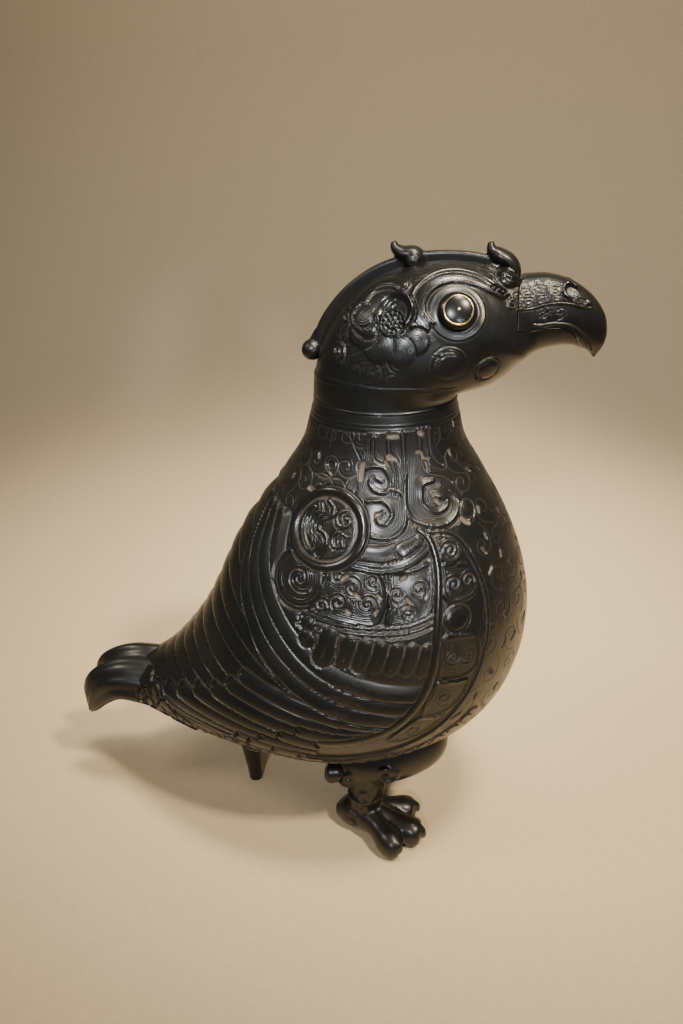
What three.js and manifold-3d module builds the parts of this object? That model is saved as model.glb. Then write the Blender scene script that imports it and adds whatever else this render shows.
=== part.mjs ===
// A bird-shaped wine vessel of cast bronze with gold-inlaid eyes. The hollow body stands on two legs
// and a small rear prop. The head is a loose lid with a spigot, and its upper beak is a hinged flap
// over a pouring spout. +X is forward, +Y is left and +Z is up. Lengths are in millimetres.
import * as THREE from "three";
import { mergeVertices } from "three/addons/utils/BufferGeometryUtils.js";
import Module from "manifold-3d";

const wasm = await Module();
wasm.setup();

// Driving dimensions
const vesselHeight = 265;
const mouthRadius = 28.5;
const wall = 3.2;
const headWall = 3;
const spigotDepth = 11;
const spigotWall = 2.4;
const spigotClearance = 0.4;
const lidGap = 0.3;
const beakGap = 0.35;
const hingePinRadius = 1.3;
const hingePinLength = 11;
const hingeBoreClearance = 0.3;
const hingeLugWidth = 5;
const hingeLugWall = 2.1;
const hingeArmRise = 2.8;
const hingeLugClearance = 0.4;
const spoutWidth = 9;
const spoutHeight = 7;
const eyeDomeRadius = 6.6;
const eyeDomeHeight = 2.4;
const eyeRingRadius = 5.2;
const eyeRingWidth = 0.9;
const eyeRingDepth = 1;
const pupilRadius = 0.8;
const pupilDepth = 1.2;
const inlayGap = 0.3;
const legSpread = 25;
const toeRadius = 6;
const shankRadius = 7.6;
const crestThickness = 5;
const curlThickness = 8;
const propRadius = 5;
const medallionRadius = 15.5;
const lobeRadius = 9.5;
const ridgeWidth = 4;
const reliefHeight = 1.1;
const shortFeatherCount = 7;
const flightFeatherCount = 3;
const flightFeatherWidth = 6.6;
const rearFeatherCount = 3;
const rearFeatherWidth = 6;
const collarWidth = 2.2;
const collarHeight = 0.9;
const bossHeight = 1.7;
const medallionHeight = 2.6;

// The free form is drawn in parts of the height, so every outline follows it.
const partsOfHeight = 265;
const unit = vesselHeight / partsOfHeight;
const mouthLevel = 206 * unit;
const sinkDepth = 1.2 * unit;
const bodyFacets = 20;
const cavityFacets = 16;
const headFacets = 16;
const spoutFacets = 8;

// Outlines of the body in the plane of symmetry, from the mouth to the root of the tail: the back,
// the breast and belly, and half the width at each station.
const backLine = [
  [-41, 176], [-50, 163], [-60, 149], [-67.5, 135], [-74, 121], [-80.5, 108.5], [-87.5, 98],
  [-95, 88.5], [-102.5, 80.5], [-110, 74.5], [-116.5, 70], [-122, 67], [-127, 65],
];
const frontLine = [
  [40, 176], [50, 158], [58, 138], [62, 117], [60.5, 95], [53, 74], [38.5, 56.5],
  [17, 44], [-10, 38], [-38, 37], [-66, 41], [-90, 46.5], [-110, 52],
];
const halfWidths = [36.5, 44.5, 51.5, 56.5, 58.5, 58.5, 56, 51, 43.5, 35, 26.5, 19.5, 15];

// Outlines of the head: crown and top of the beak, throat and chin, and half the width as shares of
// the radius of the mouth that it covers.
const crownLine = [
  [-27.5, 217], [-24, 229], [-17.5, 240], [-8.5, 248.5], [3, 254.5], [17, 257.5], [31, 257.5], [42, 255],
  [50, 253], [60, 253], [69, 250.3], [76.7, 245], [81.5, 238.5], [83, 232], [82.3, 227], [79.5, 222],
];
const chinLine = [
  [31, 210], [36, 211], [41, 212.5], [46, 215.7], [50, 219.5], [53, 222], [55.5, 223.7], [58, 224.8],
  [60.5, 225.6], [64, 226.3], [67.5, 226.8], [71, 226.4], [74, 225.4], [76, 224.7], [77.2, 223.8],
  [78.3, 222.6],
];
const headWidthShares = [
  1.004, 1.018, 1.018, 0.982, 0.93, 0.842, 0.632, 0.456, 0.386, 0.351, 0.316, 0.274, 0.221, 0.161,
  0.098, 0.028,
];

const bronze = new THREE.MeshStandardMaterial({ color: 0x2b2520, roughness: 0.42, metalness: 0.85 });
const darkBronze = new THREE.MeshStandardMaterial({ color: 0x241f1c, roughness: 0.38, metalness: 0.85 });
const gold = new THREE.MeshStandardMaterial({ color: 0xc9a24a, roughness: 0.3, metalness: 1 });

function drawn(points) {
  return points.map(([x, y]) => new THREE.Vector2(x * unit, y * unit));
}

// The first two stations follow the mouth, so the neck always meets the lid.
const bodyBack = new THREE.SplineCurve([
  new THREE.Vector2(-mouthRadius, mouthLevel),
  new THREE.Vector2(-mouthRadius - 4.5 * unit, mouthLevel - 17 * unit),
  ...drawn(backLine),
]);
const bodyFront = new THREE.SplineCurve([
  new THREE.Vector2(mouthRadius, mouthLevel),
  new THREE.Vector2(mouthRadius + 3.5 * unit, mouthLevel - 16 * unit),
  ...drawn(frontLine),
]);
const bodyWidth = new THREE.SplineCurve([
  new THREE.Vector2(mouthRadius, 0),
  new THREE.Vector2(mouthRadius + 2 * unit, 0),
  ...drawn(halfWidths.map((width) => [width, 0])),
]);
const bodyStations = halfWidths.length + 1;

const lidLevel = mouthLevel + lidGap;
const napeLevel = mouthLevel + 4.5 * unit;
const throatLevel = mouthLevel + 2 * unit;
const headBack = new THREE.SplineCurve([
  new THREE.Vector2(-mouthRadius, lidLevel),
  new THREE.Vector2(-mouthRadius, napeLevel),
  ...drawn(crownLine),
]);
const headFront = new THREE.SplineCurve([
  new THREE.Vector2(mouthRadius, lidLevel),
  new THREE.Vector2(mouthRadius, throatLevel),
  ...drawn(chinLine),
]);
const headWidth = new THREE.SplineCurve([
  new THREE.Vector2(mouthRadius, 0),
  new THREE.Vector2(mouthRadius, 0),
  ...headWidthShares.map((share) => new THREE.Vector2(mouthRadius * share, 0)),
]);
const headStations = headWidthShares.length + 1;

// A point of a lofted form. Station runs along the form, and the angle runs round it from the front
// or underside, at 0, over the right flank at 90 degrees to the back or top at 180.
function loftPoint(back, front, width, share, angle, boxiness) {
  const rear = back.getPoint(share);
  const fore = front.getPoint(share);
  const across = width.getPoint(share).x;
  const lean = Math.cos(angle);
  const bulge = Math.sin(angle);
  return new THREE.Vector3(
    (rear.x + fore.x) / 2 + ((fore.x - rear.x) / 2) * lean,
    -across * Math.sign(bulge) * Math.abs(bulge) ** boxiness,
    (rear.y + fore.y) / 2 + ((fore.y - rear.y) / 2) * lean,
  );
}

function bodyPoint(station, degrees) {
  const share = THREE.MathUtils.clamp(station / bodyStations, 0, 1);
  return loftPoint(bodyBack, bodyFront, bodyWidth, share, THREE.MathUtils.degToRad(degrees), 1);
}

function headPoint(station, degrees) {
  const share = THREE.MathUtils.clamp(station / headStations, 0, 1);
  const boxiness = 1 - 0.15 * THREE.MathUtils.clamp((station - 1) / 3, 0, 1);
  return loftPoint(headBack, headFront, headWidth, share, THREE.MathUtils.degToRad(degrees), boxiness);
}

function slopes(point, station, degrees) {
  const step = 0.02;
  const turn = 1;
  const along = point(station + step, degrees).sub(point(station - step, degrees)).divideScalar(2 * step);
  const round = point(station, degrees + turn).sub(point(station, degrees - turn)).divideScalar(2 * turn);
  return { along, round };
}

// The outward normal of a form at an address points away from the far side of its section.
function outward(point, station, degrees) {
  const { along, round } = slopes(point, station, degrees);
  const normal = new THREE.Vector3().crossVectors(along, round).normalize();
  const apart = point(station, degrees).sub(point(station, degrees + 180));
  return normal.dot(apart) < 0 ? normal.negate() : normal;
}

function lifted(point, station, degrees, height) {
  return point(station, degrees).addScaledVector(outward(point, station, degrees), height);
}

// The address a given way off another, measured in the plane that touches the form there.
function beside(point, station, degrees, down, round) {
  const start = slopes(point, station, degrees);
  const normal = outward(point, station, degrees);
  const downDirection = start.along.clone().normalize();
  const roundDirection = new THREE.Vector3().crossVectors(normal, downDirection);
  const centre = point(station, degrees);
  let s = station;
  let d = degrees;
  const a = start.along.dot(downDirection);
  const b = start.round.dot(downDirection);
  const c = start.along.dot(roundDirection);
  const e = start.round.dot(roundDirection);
  const determinant = a * e - b * c;
  for (let pass = 0; pass < 6; pass += 1) {
    const offset = point(s, d).sub(centre);
    const missDown = down - offset.dot(downDirection);
    const missRound = round - offset.dot(roundDirection);
    s += (missDown * e - missRound * b) / determinant;
    d += (missRound * a - missDown * c) / determinant;
  }
  return [s, d];
}

// Solids are closed meshes turned outward, then joined and cut.
function solid(points, triangles) {
  const vertProperties = new Float32Array(points.flatMap((p) => [p.x, p.y, p.z]));
  let volume = 0;
  for (const [i, j, k] of triangles) {
    volume += points[i].dot(new THREE.Vector3().crossVectors(points[j], points[k]));
  }
  const facing = volume > 0 ? triangles : triangles.map(([i, j, k]) => [i, k, j]);
  const triVerts = new Uint32Array(facing.flat());
  return new wasm.Manifold(new wasm.Mesh({ numProp: 3, vertProperties, triVerts }));
}

function solidOf(geometry) {
  const bare = geometry.clone();
  bare.deleteAttribute("normal");
  bare.deleteAttribute("uv");
  const merged = mergeVertices(bare, 1e-4);
  const positions = merged.getAttribute("position");
  const points = [];
  for (let i = 0; i < positions.count; i += 1) {
    points.push(new THREE.Vector3().fromBufferAttribute(positions, i));
  }
  const triangles = [];
  for (let i = 0; i < merged.index.count; i += 3) {
    const corner = [0, 1, 2].map((n) => merged.index.getX(i + n));
    if (new Set(corner).size === 3) {
      triangles.push(corner);
    }
  }
  return solid(points, triangles);
}

function closeRings(rings) {
  const points = rings.flat();
  const size = rings[0].length;
  const triangles = [];
  for (let i = 0; i + 1 < rings.length; i += 1) {
    for (let j = 0; j < size; j += 1) {
      const next = (j + 1) % size;
      const here = i * size;
      triangles.push([here + j, here + next, here + size + next]);
      triangles.push([here + j, here + size + next, here + size + j]);
    }
  }
  for (const [ring, start, flip] of [[rings[0], 0, true], [rings.at(-1), (rings.length - 1) * size, false]]) {
    const middle = new THREE.Vector3();
    ring.forEach((p) => middle.add(p));
    points.push(middle.divideScalar(size));
    const hub = points.length - 1;
    for (let j = 0; j < size; j += 1) {
      const next = (j + 1) % size;
      triangles.push(flip ? [hub, start + next, start + j] : [hub, start + j, start + next]);
    }
  }
  return solid(points, triangles);
}

// A closed slab between two grids of points, one on top of the other.
function slab(columns, rows, top, bottom) {
  const points = [];
  for (const face of [top, bottom]) {
    for (let i = 0; i <= columns; i += 1) {
      for (let j = 0; j <= rows; j += 1) {
        points.push(face(i / columns, j / rows));
      }
    }
  }
  const across = rows + 1;
  const below = (columns + 1) * across;
  const triangles = [];
  const quad = (a, b, c, d) => triangles.push([a, b, c], [a, c, d]);
  for (let i = 0; i < columns; i += 1) {
    for (let j = 0; j < rows; j += 1) {
      const p = i * across + j;
      quad(p, p + 1, p + across + 1, p + across);
      quad(below + p, below + p + across, below + p + across + 1, below + p + 1);
    }
    const near = i * across;
    const far = near + rows;
    quad(near, near + across, below + near + across, below + near);
    quad(far, below + far, below + far + across, far + across);
  }
  for (let j = 0; j < rows; j += 1) {
    const last = columns * across + j;
    quad(j, below + j, below + j + 1, j + 1);
    quad(last, last + 1, below + last + 1, below + last);
  }
  return solid(points, triangles);
}

// A raised strip along a line of addresses, with its own width and a rounded or shingled crown.
function strip(point, path, width, heights, steps, side = 1) {
  const line = new THREE.SplineCurve(path.map(([s, d]) => new THREE.Vector2(s, d)));
  const cross = (u, v, height) => {
    const here = line.getPoint(u);
    const ahead = line.getPoint(Math.min(1, u + 0.02));
    const behind = line.getPoint(Math.max(0, u - 0.02));
    const travel = point(ahead.x, ahead.y).sub(point(behind.x, behind.y)).normalize();
    const normal = outward(point, here.x, here.y);
    const sideways = new THREE.Vector3().crossVectors(normal, travel);
    const wide = typeof width === "function" ? width(u) : width;
    const offset = sideways.multiplyScalar((v - 0.5) * wide);
    const start = slopes(point, here.x, here.y);
    const downDirection = start.along.clone().normalize();
    const roundDirection = new THREE.Vector3().crossVectors(normal, downDirection);
    const [s, d] = beside(point, here.x, here.y, offset.dot(downDirection), offset.dot(roundDirection));
    return mirrored(lifted(point, s, d, height), side);
  };
  const rows = heights.length - 1;
  const top = (u, v) => cross(u, v, heights[Math.round(v * rows)]);
  const bottom = (u, v) => cross(u, v, -sinkDepth);
  return slab(steps, rows, top, bottom);
}

function mirrored(p, side) {
  return new THREE.Vector3(p.x, p.y * side, p.z);
}

// A raised disc on a form: a rim, a shallow bowl inside it and an optional middle.
function boss(point, station, degrees, radius, profile, segments, side = 1, squash = 1) {
  const rings = [];
  for (const [share, height] of profile) {
    const ring = [];
    for (let k = 0; k < segments; k += 1) {
      const turn = (2 * Math.PI * k) / segments;
      const down = radius * share * Math.cos(turn);
      const round = radius * share * squash * Math.sin(turn);
      const [s, d] = beside(point, station, degrees, down, round);
      ring.push(mirrored(lifted(point, s, d, height), side));
    }
    rings.push(ring);
  }
  return closeRings(rings);
}

// An upright plate in the plane of symmetry, from an outline of drawn points.
function plate(outline, thickness) {
  const shape = new THREE.Shape(outline);
  const geometry = new THREE.ExtrudeGeometry(shape, { depth: thickness, bevelEnabled: false });
  geometry.rotateX(Math.PI / 2);
  geometry.translate(0, thickness / 2, 0);
  return solidOf(geometry);
}

// A tapering limb: rings of the given radii along a line of points.
function limb(line, radii, steps, segments, flatness = 1) {
  const path = new THREE.CatmullRomCurve3(line, false, "centripetal");
  const sizes = new THREE.SplineCurve(radii.map((r) => new THREE.Vector2(r, 0)));
  const rings = [];
  for (let i = 0; i <= steps; i += 1) {
    const share = i / steps;
    const centre = path.getPoint(share);
    const forward = path.getTangent(share);
    const side = new THREE.Vector3(0, 1, 0).projectOnPlane(forward).normalize();
    const up = new THREE.Vector3().crossVectors(forward, side);
    const radius = sizes.getPoint(share).x;
    const ring = [];
    for (let k = 0; k < segments; k += 1) {
      const turn = (2 * Math.PI * k) / segments;
      const p = centre.clone().addScaledVector(side, radius * Math.cos(turn));
      ring.push(p.addScaledVector(up, radius * flatness * Math.sin(turn)));
    }
    rings.push(ring);
  }
  return closeRings(rings);
}

function ball(centre, radii) {
  const geometry = new THREE.SphereGeometry(1, 8, 5);
  geometry.scale(radii[0], radii[1], radii[2]);
  geometry.translate(centre.x, centre.y, centre.z);
  return solidOf(geometry);
}

function at(x, y, z) {
  return new THREE.Vector3(x * unit, y * unit, z * unit);
}

function joined(solids) {
  return solids.reduce((whole, piece) => whole.add(piece));
}

function both(maker) {
  return [maker(1), maker(-1)];
}

// Body
function bodyShell() {
  const rings = [];
  const stationsDrawn = 14;
  for (let i = 0; i <= stationsDrawn; i += 1) {
    const station = (bodyStations * i) / stationsDrawn;
    const ring = [];
    for (let k = 0; k < bodyFacets; k += 1) {
      ring.push(bodyPoint(station, (360 * k) / bodyFacets));
    }
    rings.push(ring);
  }
  return closeRings(rings);
}

function cavity() {
  const rings = [];
  const neck = mouthRadius - wall;
  for (const level of [mouthLevel + 5 * unit, mouthLevel - spigotDepth - unit]) {
    const ring = [];
    for (let k = 0; k < cavityFacets; k += 1) {
      const turn = (2 * Math.PI * k) / cavityFacets;
      ring.push(new THREE.Vector3(neck * Math.cos(turn), -neck * Math.sin(turn), level));
    }
    rings.push(ring);
  }
  const lastStation = bodyStations - 2;
  const stationsDrawn = 8;
  for (let i = 0; i <= stationsDrawn; i += 1) {
    const station = 2 + ((lastStation - 2) * i) / stationsDrawn;
    const ring = [];
    for (let k = 0; k < cavityFacets; k += 1) {
      ring.push(lifted(bodyPoint, station, (360 * k) / cavityFacets, -wall));
    }
    rings.push(ring);
  }
  return closeRings(rings);
}

function tailLobe(side) {
  const valley = new THREE.CatmullRomCurve3([
    at(-104, 1, 66), at(-116, 0.5, 67.5), at(-127, 0, 66), at(-136, -1.5, 62), at(-141.5, -4, 56),
    at(-145, -6.5, 49), at(-146.3, -7.6, 45),
  ]);
  const ridge = new THREE.CatmullRomCurve3([
    at(-104, -8, 71), at(-117, -6.5, 73.5), at(-128, -6.5, 73), at(-138, -7, 69), at(-145, -7.5, 63),
    at(-148.6, -8, 55), at(-147.2, -8.2, 45.5),
  ]);
  const edge = new THREE.CatmullRomCurve3([
    at(-92, -14, 50.5), at(-106, -15.5, 53), at(-118, -16, 56.5), at(-127, -15.5, 57), at(-135, -13.5, 52),
    at(-141, -11.5, 46.5), at(-145.6, -9, 43),
  ]);
  const outer = (u, v) => {
    const a = valley.getPoint(u);
    const b = ridge.getPoint(u);
    const c = edge.getPoint(u);
    const flank = b.clone().lerp(c, 0.5);
    flank.add(at(0, -4.5 * (1 - u * 0.8), 3 * (1 - u)));
    const section = new THREE.CatmullRomCurve3([a, b, flank, c]);
    const point = section.getPoint(v);
    return mirrored(point, side);
  };
  const core = (u) => {
    const middle = valley.getPoint(u).lerp(edge.getPoint(u), 0.55);
    return mirrored(middle, side);
  };
  const inner = (u, v) => outer(u, v).lerp(core(u), 0.45);
  return slab(8, 5, outer, inner);
}

function foot(side) {
  const x = -9;
  const ankle = 10;
  const limbTo = (tip, radii) => {
    const line = [at(x, 0, ankle - 2), at((x + tip[0]) / 2, tip[1] / 2, 8.2), at(tip[0], tip[1], 5.4)];
    line.push(at(tip[0] + 4, tip[1] * 1.08, 4.6));
    line.forEach((p) => p.add(new THREE.Vector3(0, -legSpread, 0)));
    return limb(line.map((p) => mirrored(p, side)), radii, 3, 6, 1.15);
  };
  const full = toeRadius;
  const toes = [[12.5, 5], [16, -8], [7, -16]].map((tip) => {
    return limbTo(tip, [full, full, full * 1.08, full * 0.98, full * 0.45]);
  });
  const heel = ball(
    new THREE.Vector3(-14.5 * unit, side * -(legSpread - unit), 7.2 * unit),
    [8.8 * unit, 8 * unit, 8.4 * unit],
  );
  return joined([...toes, heel]);
}

function leg(side) {
  const y = -legSpread;
  const place = (dx, dy, z) => new THREE.Vector3(dx * unit, side * (y + dy * unit), z * unit);
  const thighLine = [
    place(20, 3, 64), place(20.5, 1, 53), place(13, 0.5, 45.5), place(3, 0.5, 40), place(-7, 0.5, 35.5),
    place(-16, 0.5, 32),
  ];
  const thighRadii = [8, 9.6, 10.2, 10, 8.4, 4.5].map((radius) => radius * unit);
  const thigh = limb(thighLine, thighRadii, 6, 8, 1.05);
  const hock = limb(
    [place(-12, 0.5, 31.5), place(-18, 1, 30), place(-23.5, 1.2, 29), place(-26, 1.2, 29)],
    [5.5 * unit, 4.2 * unit, 5.2 * unit, 3.4 * unit], 3, 6,
  );
  const shank = limb(
    [place(-3.5, 0, 38), place(-5.5, 0, 22), place(-8, 0, 10), place(-9, 0, 6)],
    [shankRadius, shankRadius, shankRadius * 0.95, shankRadius * 1.15], 2, 8,
  );
  return joined([thigh, hock, shank, foot(side)]);
}

function prop() {
  const line = [at(-68.5, 0, 44), at(-68, 0, 24), at(-67, 0, 8), at(-66.5, 0, -4)];
  return limb(line, [propRadius * 1.15, propRadius, propRadius * 0.72, propRadius * 0.66], 3, 8);
}

// The wing on one flank: medallion, lobe, scroll cells, borders and feathers.
const rimmed = [[1, -sinkDepth], [1, medallionHeight], [0.8, medallionHeight - 0.6]];
const domed = [[1, -sinkDepth], [0.85, bossHeight]];
const plain = [[1, -sinkDepth], [0.92, reliefHeight]];
const shingle = [0.3, reliefHeight];
const ridge = [0.2, reliefHeight * 1.3, 0.2];

function shoulder(side) {
  return [
    boss(bodyPoint, 4, 118.5, lobeRadius, plain, 10, side),
    boss(bodyPoint, 2.85, 113, medallionRadius, rimmed, 16, side),
    boss(bodyPoint, 4.13, 95, 7.6 * unit, plain, 8, side, 1.4),
    boss(bodyPoint, 3.93, 74, 6.2 * unit, plain, 8, side, 1.5),
  ];
}

function borders(side) {
  const crescent = [[3.15, 93], [3.32, 87], [3.3, 79], [3.02, 71.5], [2.72, 67.5]];
  const leading = [
    [2.6, 66], [3.1, 63.5], [4, 62.5], [5.1, 62.5], [6, 63], [6.9, 64.5], [7.6, 69], [8.2, 78],
  ];
  const outer = [[3.9, 42], [4.6, 42.5], [5.4, 43.5], [6.2, 47], [6.9, 51], [7.5, 57], [8.1, 66]];
  return [
    strip(bodyPoint, crescent, 7 * unit, ridge, 4, side),
    strip(bodyPoint, leading, ridgeWidth, ridge, 8, side),
    strip(bodyPoint, outer, ridgeWidth * 0.5, [reliefHeight * 0.8, reliefHeight * 0.8], 5, side),
    boss(bodyPoint, 4.65, 53, 5.6 * unit, domed, 8, side),
  ];
}

// The short feathers are one raised field with a scalloped lower edge.
function shortFeathers(side) {
  const facetsEach = 2;
  const edge = (u) => 5.75 + 0.25 * Math.abs(Math.sin(Math.PI * shortFeatherCount * u));
  const face = (u, v, height) => {
    const degrees = THREE.MathUtils.lerp(67, 105, u);
    return mirrored(lifted(bodyPoint, THREE.MathUtils.lerp(4.85, edge(u), v), degrees, height), side);
  };
  const top = (u, v) => face(u, v, THREE.MathUtils.lerp(0.3, reliefHeight, v));
  const bottom = (u, v) => face(u, v, -sinkDepth);
  return [slab(shortFeatherCount * facetsEach, 1, top, bottom)];
}

// Long feathers sweep down from the back and forward along the belly.
function flightFeathers(side) {
  const pieces = [];
  for (let i = 0; i < flightFeatherCount; i += 1) {
    const drop = i * 1.05;
    const path = [
      [5.2 + drop * 1.15, 160 - i * 3], [5.7 + drop * 1.05, 138], [6.25 + drop, 118], [6.7 + drop * 0.8, 98],
      [6.75 + drop * 0.66, 82], [6.5 + drop * 0.6, 69 + i * 1.5],
    ];
    pieces.push(strip(bodyPoint, path, flightFeatherWidth, shingle, 6, side));
  }
  return pieces;
}

function rearFeathers(side) {
  const pieces = [];
  for (let i = 0; i < rearFeatherCount; i += 1) {
    const s = 9.2 + i * 0.95;
    const path = [[s, 168 - i * 4], [s - 0.35, 140], [s - 0.1, 112], [s - 0.2, 88]];
    pieces.push(strip(bodyPoint, path, rearFeatherWidth, shingle, 4, side));
  }
  return pieces;
}

function vessel() {
  const whole = joined([bodyShell(), ...both(tailLobe), ...both(leg), prop()]);
  const relief = joined([
    ...both(flightFeathers).flat(), ...both(rearFeathers).flat(), ...both(shortFeathers).flat(),
    ...both(borders).flat(), ...both(shoulder).flat(),
  ]);
  const below = new THREE.BoxGeometry(600 * unit, 400 * unit, 60 * unit);
  below.translate(0, 0, -30 * unit);
  return whole.add(relief).subtract(cavity()).subtract(solidOf(below));
}

// Head
const seamX = 49 * unit;
const seamFoot = 234.9 * unit;
const pinX = 53.5 * unit;
const pinZ = 248.4 * unit;
const knuckleRadius = 4.5 * unit;
const farX = 95 * unit;
const farZ = 275 * unit;

// The rear of the mouth follows a circle about the pin, so the flap swings clear of the jaw.
const mouthLine = [
  [51.2, 234.35], [53.5, 234.15], [56.5, 234.45], [60, 235.1], [65, 235.1], [69, 233.2], [72.3, 230],
  [74.4, 226], [75, 219],
];

function headForm() {
  const rings = [];
  const stationsDrawn = 16;
  for (let i = 0; i <= stationsDrawn; i += 1) {
    const station = (headStations * i) / stationsDrawn;
    const ring = [];
    for (let k = 0; k < headFacets; k += 1) {
      ring.push(headPoint(station, (360 * k) / headFacets));
    }
    rings.push(ring);
  }
  return closeRings(rings);
}

function headCavity() {
  const rings = [];
  const bore = mouthRadius - wall - spigotClearance - spigotWall;
  const levels = [mouthLevel - spigotDepth - 5 * unit, lidLevel + unit];
  for (const level of levels) {
    const ring = [];
    for (let k = 0; k < cavityFacets; k += 1) {
      const turn = (2 * Math.PI * k) / cavityFacets;
      ring.push(new THREE.Vector3(bore * Math.cos(turn), -bore * Math.sin(turn), level));
    }
    rings.push(ring);
  }
  for (const station of [1.6, 2.6, 3.6, 4.6, 5.6, 6.6, 7.4, 8]) {
    const ring = [];
    for (let k = 0; k < cavityFacets; k += 1) {
      ring.push(lifted(headPoint, station, (360 * k) / cavityFacets, -headWall));
    }
    rings.push(ring);
  }
  return closeRings(rings);
}

// The space of the upper beak, from the seam forward and above the line of the mouth. A gap widens
// it on every side that meets the head.
function beakZone(gap, rounded) {
  const outline = [new THREE.Vector2(seamX - gap, seamFoot - gap)];
  for (const [x, z] of mouthLine) {
    outline.push(new THREE.Vector2(x * unit - gap * 0.7, z * unit - gap));
  }
  outline.push(new THREE.Vector2(farX, 219 * unit), new THREE.Vector2(farX, farZ));
  if (rounded) {
    outline.push(new THREE.Vector2(pinX, farZ));
    for (let k = 0; k <= 5; k += 1) {
      const turn = Math.PI / 2 + (k / 5) * (Math.PI / 2);
      const knuckle = new THREE.Vector2(Math.cos(turn), Math.sin(turn)).multiplyScalar(knuckleRadius);
      outline.push(knuckle.add(new THREE.Vector2(pinX, pinZ)));
    }
  } else {
    outline.push(new THREE.Vector2(seamX - gap, farZ));
  }
  return plate(outline, 80 * unit);
}

function across(x, z, radius, length, segments = 12) {
  const geometry = new THREE.CylinderGeometry(radius, radius, length, segments);
  geometry.translate(x, 0, z);
  return solidOf(geometry);
}

function block(low, high) {
  const geometry = new THREE.BoxGeometry(high[0] - low[0], high[1] - low[1], high[2] - low[2]);
  geometry.translate((low[0] + high[0]) / 2, (low[1] + high[1]) / 2, (low[2] + high[2]) / 2);
  return solidOf(geometry);
}

// The spout runs from the hollow head forward between the two halves of the beak.
function spout() {
  const line = [at(34, 0, 236), at(46, 0, 236.5), at(57, 0, 236.5), at(65, 0, 234.5), at(70.5, 0, 230.5)];
  const half = spoutWidth / 2;
  const path = new THREE.CatmullRomCurve3(line);
  const rings = [];
  const steps = 5;
  for (let i = 0; i <= steps; i += 1) {
    const share = i / steps;
    const centre = path.getPoint(share);
    const narrowing = 1 - 0.55 * share * share;
    const ring = [];
    for (let k = 0; k < spoutFacets; k += 1) {
      const turn = (2 * Math.PI * k) / spoutFacets;
      const up = (spoutHeight / 2) * narrowing * Math.sin(turn);
      ring.push(new THREE.Vector3(centre.x, half * narrowing * Math.cos(turn), centre.z + up));
    }
    rings.push(ring);
  }
  return closeRings(rings);
}

const lugRadius = hingePinRadius + hingeBoreClearance + hingeLugWall;
const boreRadius = hingePinRadius + hingeBoreClearance;

function hingeLug() {
  const arm = block(
    [seamX - 5 * unit, -hingeLugWidth / 2, pinZ - lugRadius],
    [pinX, hingeLugWidth / 2, pinZ + hingeArmRise],
  );
  const eye = across(pinX, pinZ, lugRadius, hingeLugWidth);
  return arm.add(eye).subtract(across(pinX, pinZ, boreRadius, hingeLugWidth * 2));
}

function upperBeak() {
  const slotHalf = hingeLugWidth / 2 + hingeLugClearance;
  const slotReach = lugRadius + hingeLugClearance;
  const slot = block([seamX - 5 * unit, -slotHalf, pinZ - slotReach], [pinX, slotHalf, farZ]);
  const bore = across(pinX, pinZ, boreRadius, hingePinLength + 2 * inlayGap);
  const flap = headForm().intersect(beakZone(0, true));
  const nostrils = both((side) => boss(headPoint, 11.75, 136, 2.4 * unit, domed, 8, side, 1.4));
  const clearance = across(pinX, pinZ, slotReach, 2 * slotHalf);
  return joined([flap, ...nostrils]).subtract(joined([slot, clearance, bore, spout()]));
}

function crest() {
  const edge = [
    [-27.5, 219], [-28.6, 229], [-22.5, 240], [-14, 249.3], [-3, 256.5], [10, 260.6], [22, 261.4],
    [34, 260.4], [43, 257.5], [48, 254.6],
  ];
  const outer = new THREE.SplineCurve(drawn(edge)).getPoints(10);
  const inner = drawn([
    [46, 252], [31, 255.2], [17, 255.2], [3, 252], [-8, 246], [-16, 238], [-22.5, 228], [-25.8, 217],
  ]);
  return plate([...outer, ...inner], crestThickness);
}

function curls() {
  const rear = drawn([
    [13.5, 255], [14.6, 259], [13.4, 262], [9.6, 262.6], [6.6, 261.8], [5.6, 263.8], [3.4, 265], [1.8, 263.6],
    [2, 261], [4, 258.6], [5.5, 254],
  ]);
  const front = drawn([
    [37, 256.5], [35.4, 259.6], [36.2, 262], [38.4, 262.6], [40.2, 260.8], [43.6, 260], [47, 258],
    [49.4, 255], [49.6, 251.6], [47.5, 248.8], [43.8, 249.4], [42.2, 252.6],
  ]);
  const scrolls = [[46, 251.8, 3.2], [10.6, 259.4, 2.8]].map(([x, z, radius]) => {
    return across(x * unit, z * unit, radius * unit, curlThickness * 1.9, 8);
  });
  const knob = across(-29.4 * unit, 224 * unit, 3.8 * unit, curlThickness, 8);
  return joined([plate(rear, curlThickness), plate(front, curlThickness), ...scrolls, knob]);
}

function turned(profile, segments = 10) {
  const outline = profile.map(([radius, height]) => new THREE.Vector2(radius, height));
  return new THREE.LatheGeometry(outline, segments);
}

const eyeAddress = [6.7, 105];

// Turns a piece drawn about +Y so that it looks outward from the eye on one side.
function seatAtEye(geometry, side) {
  const centre = lifted(headPoint, ...eyeAddress, 0.2);
  const normal = outward(headPoint, ...eyeAddress);
  const turn = new THREE.Quaternion().setFromUnitVectors(
    new THREE.Vector3(0, 1, 0),
    mirrored(normal, side),
  );
  geometry.applyQuaternion(turn);
  const seat = mirrored(centre, side);
  geometry.translate(seat.x, seat.y, seat.z);
  return geometry;
}

function eyeDome(side) {
  const profile = [
    [0, -sinkDepth], [eyeDomeRadius, -sinkDepth], [eyeDomeRadius, eyeDomeHeight * 0.25],
    [eyeDomeRadius * 0.7, eyeDomeHeight * 0.8], [0, eyeDomeHeight],
  ];
  return solidOf(seatAtEye(turned(profile), side));
}

const ringCrown = eyeDomeHeight * 0.72;

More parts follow.
